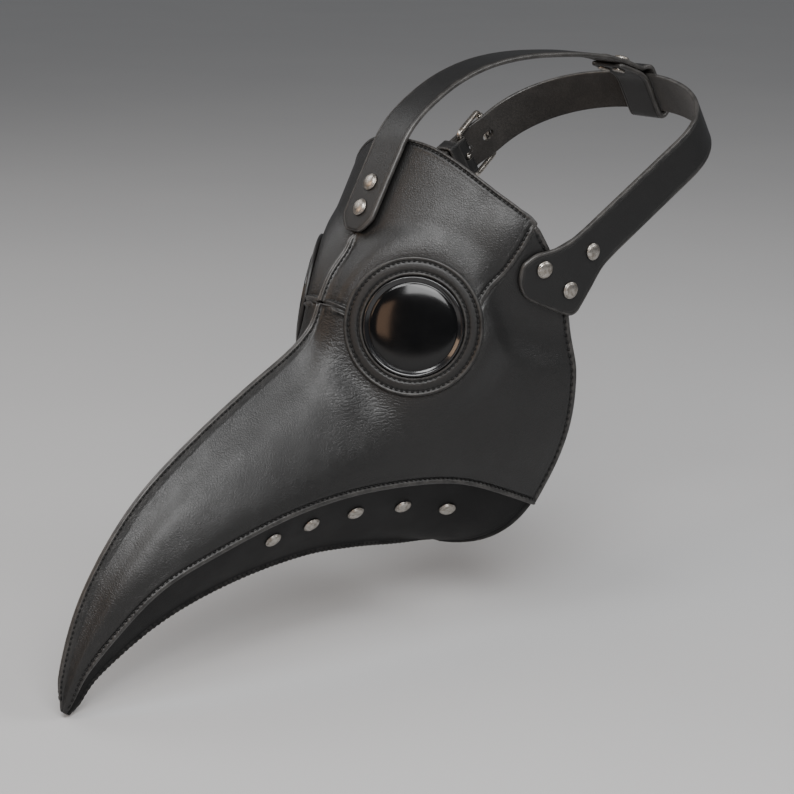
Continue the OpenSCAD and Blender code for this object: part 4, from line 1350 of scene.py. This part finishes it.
middle_x = SIDE_X + STRAP / 2
tab = tab_lines()
angle = np.linspace(0, np.pi, 90)
loop_x = middle_x * np.sign(np.cos(angle)) * np.abs(np.cos(angle)) ** 0.92
return_s = np.linspace(LOOP_S - 1.5, 41.2, 44)
loop = np.concatenate([
    np.stack([np.full(30, middle_x), np.linspace(37.5, LOOP_S - 2, 30)], -1),
    np.stack([loop_x, LOOP_S + LOOP_B * np.sin(angle) ** 0.92], -1),
    np.stack([-middle_x - lift(return_s), return_s], -1),
])
loop = resampled(loop, 2.0)
ends = lengths(loop)[-1] - lengths(loop)
half_w = REAR_W / 2 - (REAR_W / 2 - 6.8) * (1 - ease(-1.0, 8.5, ends)) ** 1.6
rear = strap_sheet("rear_strap_leather", tab, loop, half_w, np.full(len(loop), STRAP), 1)
cut(rear, [
    slot_cutter(-86.0, 82.65, 11.3, 2.7), slot_cutter(-86.0, 66.8, 8.6, 2.6),
    slot_cutter(-86.0, 49.8, 8.6, 2.6), slot_cutter(-82.0, 101.0, 8.6, 2.6),
])
finish_piece(rear, ["strap_tab_left", "side_strap_left"], None)
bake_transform(rear)

bend = np.radians(np.linspace(-25, 205, 16))
fold = [[1.4, 37.5], [1.4, 50], [1.4, 68], [1.5, 73], [1.9, 77]]
fold += [[2.3 * math.cos(a), BAR_S + 2.3 * math.sin(a)] for a in bend]
fold += [[-1.7, 76], [-1.5, 73], [-1.48, 68], [-1.48, 58]]
fold = resampled(np.array(fold), 1.0)
thick = np.where(np.arange(len(fold)) < 35, STRAP, 2.5)
thick = thick + (1.25 - thick) * ease(8.0, 2.6, np.hypot(fold[:, 0] * 0.5, fold[:, 1] - BAR_S - 1.5))
path = np.stack([-SIDE_X - fold[:, 0], fold[:, 1]], -1)
buckle_strap = strap_sheet("buckle_strap_leather", tab, path, np.full(len(fold), REAR_W / 2), thick, -1)
cut(buckle_strap, [slot_cutter(-SIDE_X, BAR_S + 0.5, 9.4, 2.5)])
finish_piece(buckle_strap, ["strap_tab_right", "side_strap_right"], None)
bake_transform(buckle_strap)

# Crown strap: from the forehead over the head and round the rear strap
back = LOOP_S + LOOP_B
crown = [[-31, 46.4], [-24.6, 58], [-19.3, 67.2], [-13.8, 76.8], [-8.2, 86.5], [-2.4, 96], [5.5, 104.6],
         [17, 113], [33, 121.8], [51, 128.2], [70, 132], [92, 133.6], [115, 133.2], [139, 131.4],
         [162, 127.6]]
crown += [in_strap(0.0, back + s, m)[1:] for s, m in (
    (-5, 20.2), (-1.5, 18.4), (1.6, 16.8), (3.2, 13.5), (3.3, 0), (3.2, -13.5), (1.6, -16.4), (-2, -16.4),
    (-3.8, -13.5), (-3.9, 0), (-4.1, 10), (-5.4, 14.6))]
crown += [[179.8, 118.4], [175, 120.1], [162.5, 124.2]]
crown = np.array(crown, float)
line = along(crown, np.linspace(0, len(crown) - 1, 1500))
d = lengths(line)
loop_stops = np.linspace(d[-1] - 69, d[-1] - 1, 90)
stops = np.concatenate([np.linspace(0.9, 10, 16), np.arange(12, d[-1] - 70, 2.2), loop_stops])
line = looked_up(stops, d, line)
shape_d, shape_w = [0, 1.4, 3.6, 6.6, 8.4, 9.6], [3.9, 6.7, 9.1, 11.2, 12.2, 12.5]
half_w = np.interp(stops, shape_d, shape_w)
half_w = half_w - 1.6 * (1 - ease(0, 3.0, d[-1] - stops)) ** 2
grid = band_places(half_w)
mid = np.stack([grid, line[:, None, 0] + 0 * grid, line[:, None, 1] + 0 * grid], -1)
normal = facing(mid, (40, 8), (0.0, 0.0, 1.0))
crown_strap = band_sheet("crown_strap_leather", mid, normal, np.full(mid.shape[:2], STRAP))
finish_piece(crown_strap, ["crown_strap"], None)
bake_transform(crown_strap)

# Leather patches behind the cheeks
PATCH_TOP = [[-20.5, 5], [-20, 13.6], [-14, 17], [0, 13.6], [20, 9], [25.6, 6.2], [26.4, -1]]
PATCH_LOW = [[-20.5, 5], [-19.4, -4], [-13, -12], [-8, -17], [-2, -17.6], [20, -10], [26.4, -1]]
top, low = smooth_line(PATCH_TOP, 46)[1:-1], smooth_line(PATCH_LOW, 46)[1:-1]
patch = cross_lines(top, low, 7)
for side, flip in SIDES:
    sign = -1 if flip else 1
    o = strap_x(patch[..., 0]) - LEATHER - PATCH_BACK + PATCH / 2
    mid = in_strap(sign * o, patch[..., 0], patch[..., 1])
    normal = facing(mid, (20, 8), (-sign, 0.0, 0.0))
    made = sheet("backing_patch_" + side, mid + normal * PATCH / 2, normal, PATCH, (FLESH, BAND, EDGE))
    finish_piece(made, ["tab_backing_" + side])


# ---------------------------------------------------------------- keepers
def keeper(name, s, low_o, wide, body, node):
    """A leather loop round the strap, centred at s along it, from low_o out over both layers."""
    high_o = 2 * STRAP + 0.4
    centre, half_o, half_m = (low_o + high_o) / 2, (high_o - low_o + 0.6) / 2 + 0.9, REAR_W / 2 + 0.4 + 0.9
    corners = [[centre + a * half_o, b * half_m] for a, b in ((-1, -1), (1, -1), (1, 1), (-1, 1))]
    path = resampled(closed_up(rounded(corners, 2.2, 6)), count=121)[:-1, None]
    inset = np.array([0.7, 1.0, 1.5, 2.2])
    across = np.concatenate([inset - wide / 2, [0.0], wide / 2 - inset[::-1]])
    flat = 0 * across
    mid = in_strap(-SIDE_X - path[..., 0] + flat, s + across + 0 * path[..., 0], path[..., 1] + flat)
    step = np.roll(mid, -1, 0) - np.roll(mid, 1, 0)
    normal = facing(mid, (10, 4), mid[10, 4] - mid.mean((0, 1)), step)
    made = band_sheet(name, mid, normal, np.full(mid.shape[:2], 1.7), closed=True)
    return finish_piece(made, [node], body)


keeper("fixed_keeper_leather", 69.5, -STRAP - 1.1, 8.0, "rear_strap", "fixed_keeper")
keeper("sliding_keeper_leather", 47.5, 0.0, 9.0, "keeper", "sliding_keeper")


# ---------------------------------------------------------------- metal
def rivet_profile(grip):
    """Half outline of a rivet: the tail behind the leather, the shank and the domed cap."""
    p = [[0, -grip - 1.2], [3.3, -grip - 1.2], [3.8, -grip - 1.0], [4.0, -grip - 0.6], [3.9, -grip - 0.1],
         [1.8, -grip - 0.05], [1.8, 0.1], [CAP_R - 0.35, 0.1], [CAP_R, 0.3], [CAP_R, 0.75],
         [CAP_R - 0.2, 1.05], [CAP_R - 0.5, 1.15]]
    for t in np.linspace(0.1, 1, 12) * math.pi / 2:
        p.append([(CAP_R - 0.5) * math.cos(t), 1.15 + (CAP_H - 1.15) * math.sin(t)])
    return np.array(p)


FLAT_RIVET = np.array([
    [0, -3], [1.6, -3], [1.6, 2.85], [2.9, 2.85], [3.1, 3.1], [3.05, 3.4], [2.6, 3.7], [1.4, 3.87], [0, 3.9],
])


def rivets(name, node, places, body="mask", mirror=False, flat=False):
    """places: where each rivet sits, its axis, and the thickness it grips."""
    p, f = joined([
        lathe_points(FLAT_RIVET if flat else rivet_profile(grip), 40, origin, axis)
        for origin, axis, grip in places
    ])
    return solid_piece(name, (mirrored(p) if mirror else p, f), RIVET, "rivet_metal", [node], body, sharp=38)


TAB_RIVETS = [[-12.5, 10.8], [-3.5, -10], [20, -1]]
CHIN_RIVETS_U = np.array([5, 5.65, 6.5, 7.45, 8.4])
chin_at = chin(CHIN_RIVETS_U, 0 * CHIN_RIVETS_U + 0.33)
chin_n = chin_normal(CHIN_RIVETS_U, 0 * CHIN_RIVETS_U + 0.33)
for side, flip in SIDES:
    places = [(at, n, LEATHER) for at, n in zip(chin_at, chin_n)]
    rivets("chin_rivet_caps_" + side, "chin_rivets_" + side, places, mirror=flip)
    temple = []
    for s, m in TAB_RIVETS:
        axis = in_strap(1.0, -0.01 * max(0, 10 - s), 0.0) - in_strap(0.0, 0.0, 0.0)
        temple.append((in_strap(strap_x(s) + STRAP, s, m), axis, STRAP + LEATHER + PATCH_BACK))
    rivets("temple_rivet_caps_" + side, "temple_rivets_" + side, temple, mirror=flip)

BROW_AXIS, LOOP_AXIS = np.array([0, -0.867, 0.498]), np.array([0, 0.31, 0.951])
centres = ([0, -24.6, 58], [0, -17.1, 71])
places = [(np.array(c) + BROW_AXIS * (STRAP / 2), BROW_AXIS, STRAP + LEATHER + 0.6) for c in centres]
rivets("crown_rivet_caps", "crown_rivets", places)
centres = ([-6, 169, 125.3], [6, 169, 125.3])
places = [(np.array(c) + LOOP_AXIS * (STRAP / 2 + 0.1), LOOP_AXIS, 2 * STRAP + 0.5) for c in centres]
rivets("crown_loop_rivet_caps", "crown_loop_rivets", places, "rear_strap")
places = [(in_strap(-SIDE_X, 60.6, m), [-1.0, 0, 0], 0) for m in (-7.0, 7.0)]
rivets("fold_rivet_caps", "fold_rivets", places, "rear_strap", flat=True)


def buckle_line(points):
    points = np.array(points, float)
    return in_strap(-SIDE_X - points[:, 0], points[:, 1], points[:, 2])


corners = [[0, BAR_S, -15.5], [FRONT_O, FRONT_S, -15.5], [FRONT_O, FRONT_S, 15.5], [0, BAR_S, 15.5]]
wire = resampled(closed_up(rounded(corners, 3.2, 8)), count=161)[:-1]
fat = 1.5 + 0.25 * ease(12.5, 15.4, np.abs(wire[:, 2]))
shape = tube_points(buckle_line(wire), fat, 16, True)
solid_piece("buckle_frame_wire", shape, BUCKLE, "buckle_metal", ["buckle_frame"], "frame")

profile = rounded([
    [1.6, -13], [2.35, -13], [2.6, -12.6], [2.6, -8], [2.6, 8], [2.6, 12.6], [2.35, 13], [1.6, 13],
], 0.25, 3)
axis = in_strap(0.0, 0.0, 1.0) - in_strap(0.0, 0.0, 0.0)
shape = lathe_points(profile, 40, buckle_line([[FRONT_O, FRONT_S, 0]])[0], axis)
solid_piece("buckle_roller_tube", shape, BUCKLE, "buckle_metal", ["buckle_roller"], "roller", sharp=40)

turns = np.radians(np.linspace(215, 0, 18))
prong = [[2.25 * math.cos(a), BAR_S + 2.25 * math.sin(a), 0] for a in -turns]
prong += [[o, s, 0] for o, s in (
    (2.9, 81.6), (4.6, 83.4), (6.6, 85.8), (7.7, 88.2), (8.4, 93), (9.2, 99), (10.0, 104.5), (10.25, 107.0),
    (10.1, 108.2))]
size = np.interp(np.linspace(0, 1, 90), [0, 0.02, 0.3, 0.9, 0.975, 1], [0.0, 0.62, 1.12, 1.1, 0.85, 0.0])
shape = tube_points(buckle_line(smooth_line(prong, 90)), size, 14)
solid_piece("buckle_prong_wire", shape, BUCKLE, "buckle_metal", ["buckle_prong"], "prong")

# ---------------------------------------------------------------- floor, light and camera
# The floor lies just under the mask; its radius and the distances below are in metres.
FLOOR_R = 14
floor_z = cad_low.z - 0.001
mesh = bpy.data.meshes.new("floor")
turns = np.linspace(0, 2 * math.pi, 96, endpoint=False)
ring = [(FLOOR_R * math.cos(a), FLOOR_R * math.sin(a), floor_z) for a in turns]
mesh.from_pydata(ring, [], [list(range(96))])
floor = bpy.data.objects.new("floor", mesh)
bpy.context.scene.collection.objects.link(floor)
material, tree, bsdf, at = new_material("pale_floor")
tone = tinted(tree, noise(tree, at, 3.0, 3), (0.46, 0.46, 0.465), (0.49, 0.49, 0.49))
wired(tree, bsdf, {"Base Color": tone, "Roughness": 0.85, "Specular IOR Level": 0.2})
mesh.materials.append(material)

world = bpy.data.worlds.new("studio")
bpy.context.scene.world = world
world.use_nodes = True
world.node_tree.nodes["Background"].inputs[0].default_value = (0.93, 0.95, 1.0, 1)
world.node_tree.nodes["Background"].inputs[1].default_value = 0.135

centre = (cad_low + cad_high) / 2


def aimed(name, data, azimuth, height, distance):
    a, e = math.radians(azimuth), math.radians(height)
    back = Vector((math.sin(a) * math.cos(e), -math.cos(a) * math.cos(e), math.sin(e)))
    made = bpy.data.objects.new(name, data)
    made.location = centre + back * distance
    made.rotation_mode = "QUATERNION"
    made.rotation_quaternion = back.to_track_quat("Z", "Y")
    made.visible_camera = False
    bpy.context.scene.collection.objects.link(made)


def softbox(name, azimuth, height, distance, size, power, colour=(1, 1, 1)):
    data = bpy.data.lights.new(name, "AREA")
    data.shape, data.size, data.size_y, data.energy, data.color = "RECTANGLE", size[0], size[1], power, colour
    aimed(name, data, azimuth, height, distance)


# Each softbox gives azimuth, height, distance, size and power.
softbox("key", 56, 41, 1.5, (0.95, 0.8), 21)
softbox("high_front", 12, 56, 1.6, (0.6, 0.5), 10)
softbox("rear_right", 130, 40, 1.6, (0.8, 0.8), 8)
softbox("left", -70, 40, 1.8, (0.9, 0.9), 7)
softbox("warm_fill", -25, 24, 2.2, (0.8, 0.8), 8, (1.0, 0.7, 0.48))
softbox("warm_card", 25, 11, 1.6, (0.35, 0.5), 1.4, (1.0, 0.62, 0.4))
# A broad distant light gives the far floor the same brightness as the backdrop.
data = bpy.data.lights.new("backdrop", "SUN")
data.energy, data.angle = 0.62, math.radians(30)
aimed("backdrop", data, 56, 50, 3.0)

AZIMUTH, PITCH = math.radians(50), math.radians(15.3)
toward = Vector((math.sin(AZIMUTH) * math.cos(PITCH), -math.cos(AZIMUTH) * math.cos(PITCH), math.sin(PITCH)))
data = bpy.data.cameras.new("camera")
data.sensor_width = 36
data.lens = 87.2
camera = bpy.data.objects.new("camera", data)
camera.location = (0.806, -0.676, 0.235)
camera.rotation_mode = "QUATERNION"
camera.rotation_quaternion = toward.to_track_quat("Z", "Y")
data.clip_start, data.clip_end = 0.02, 60
bpy.context.scene.collection.objects.link(camera)
bpy.context.scene.camera = camera
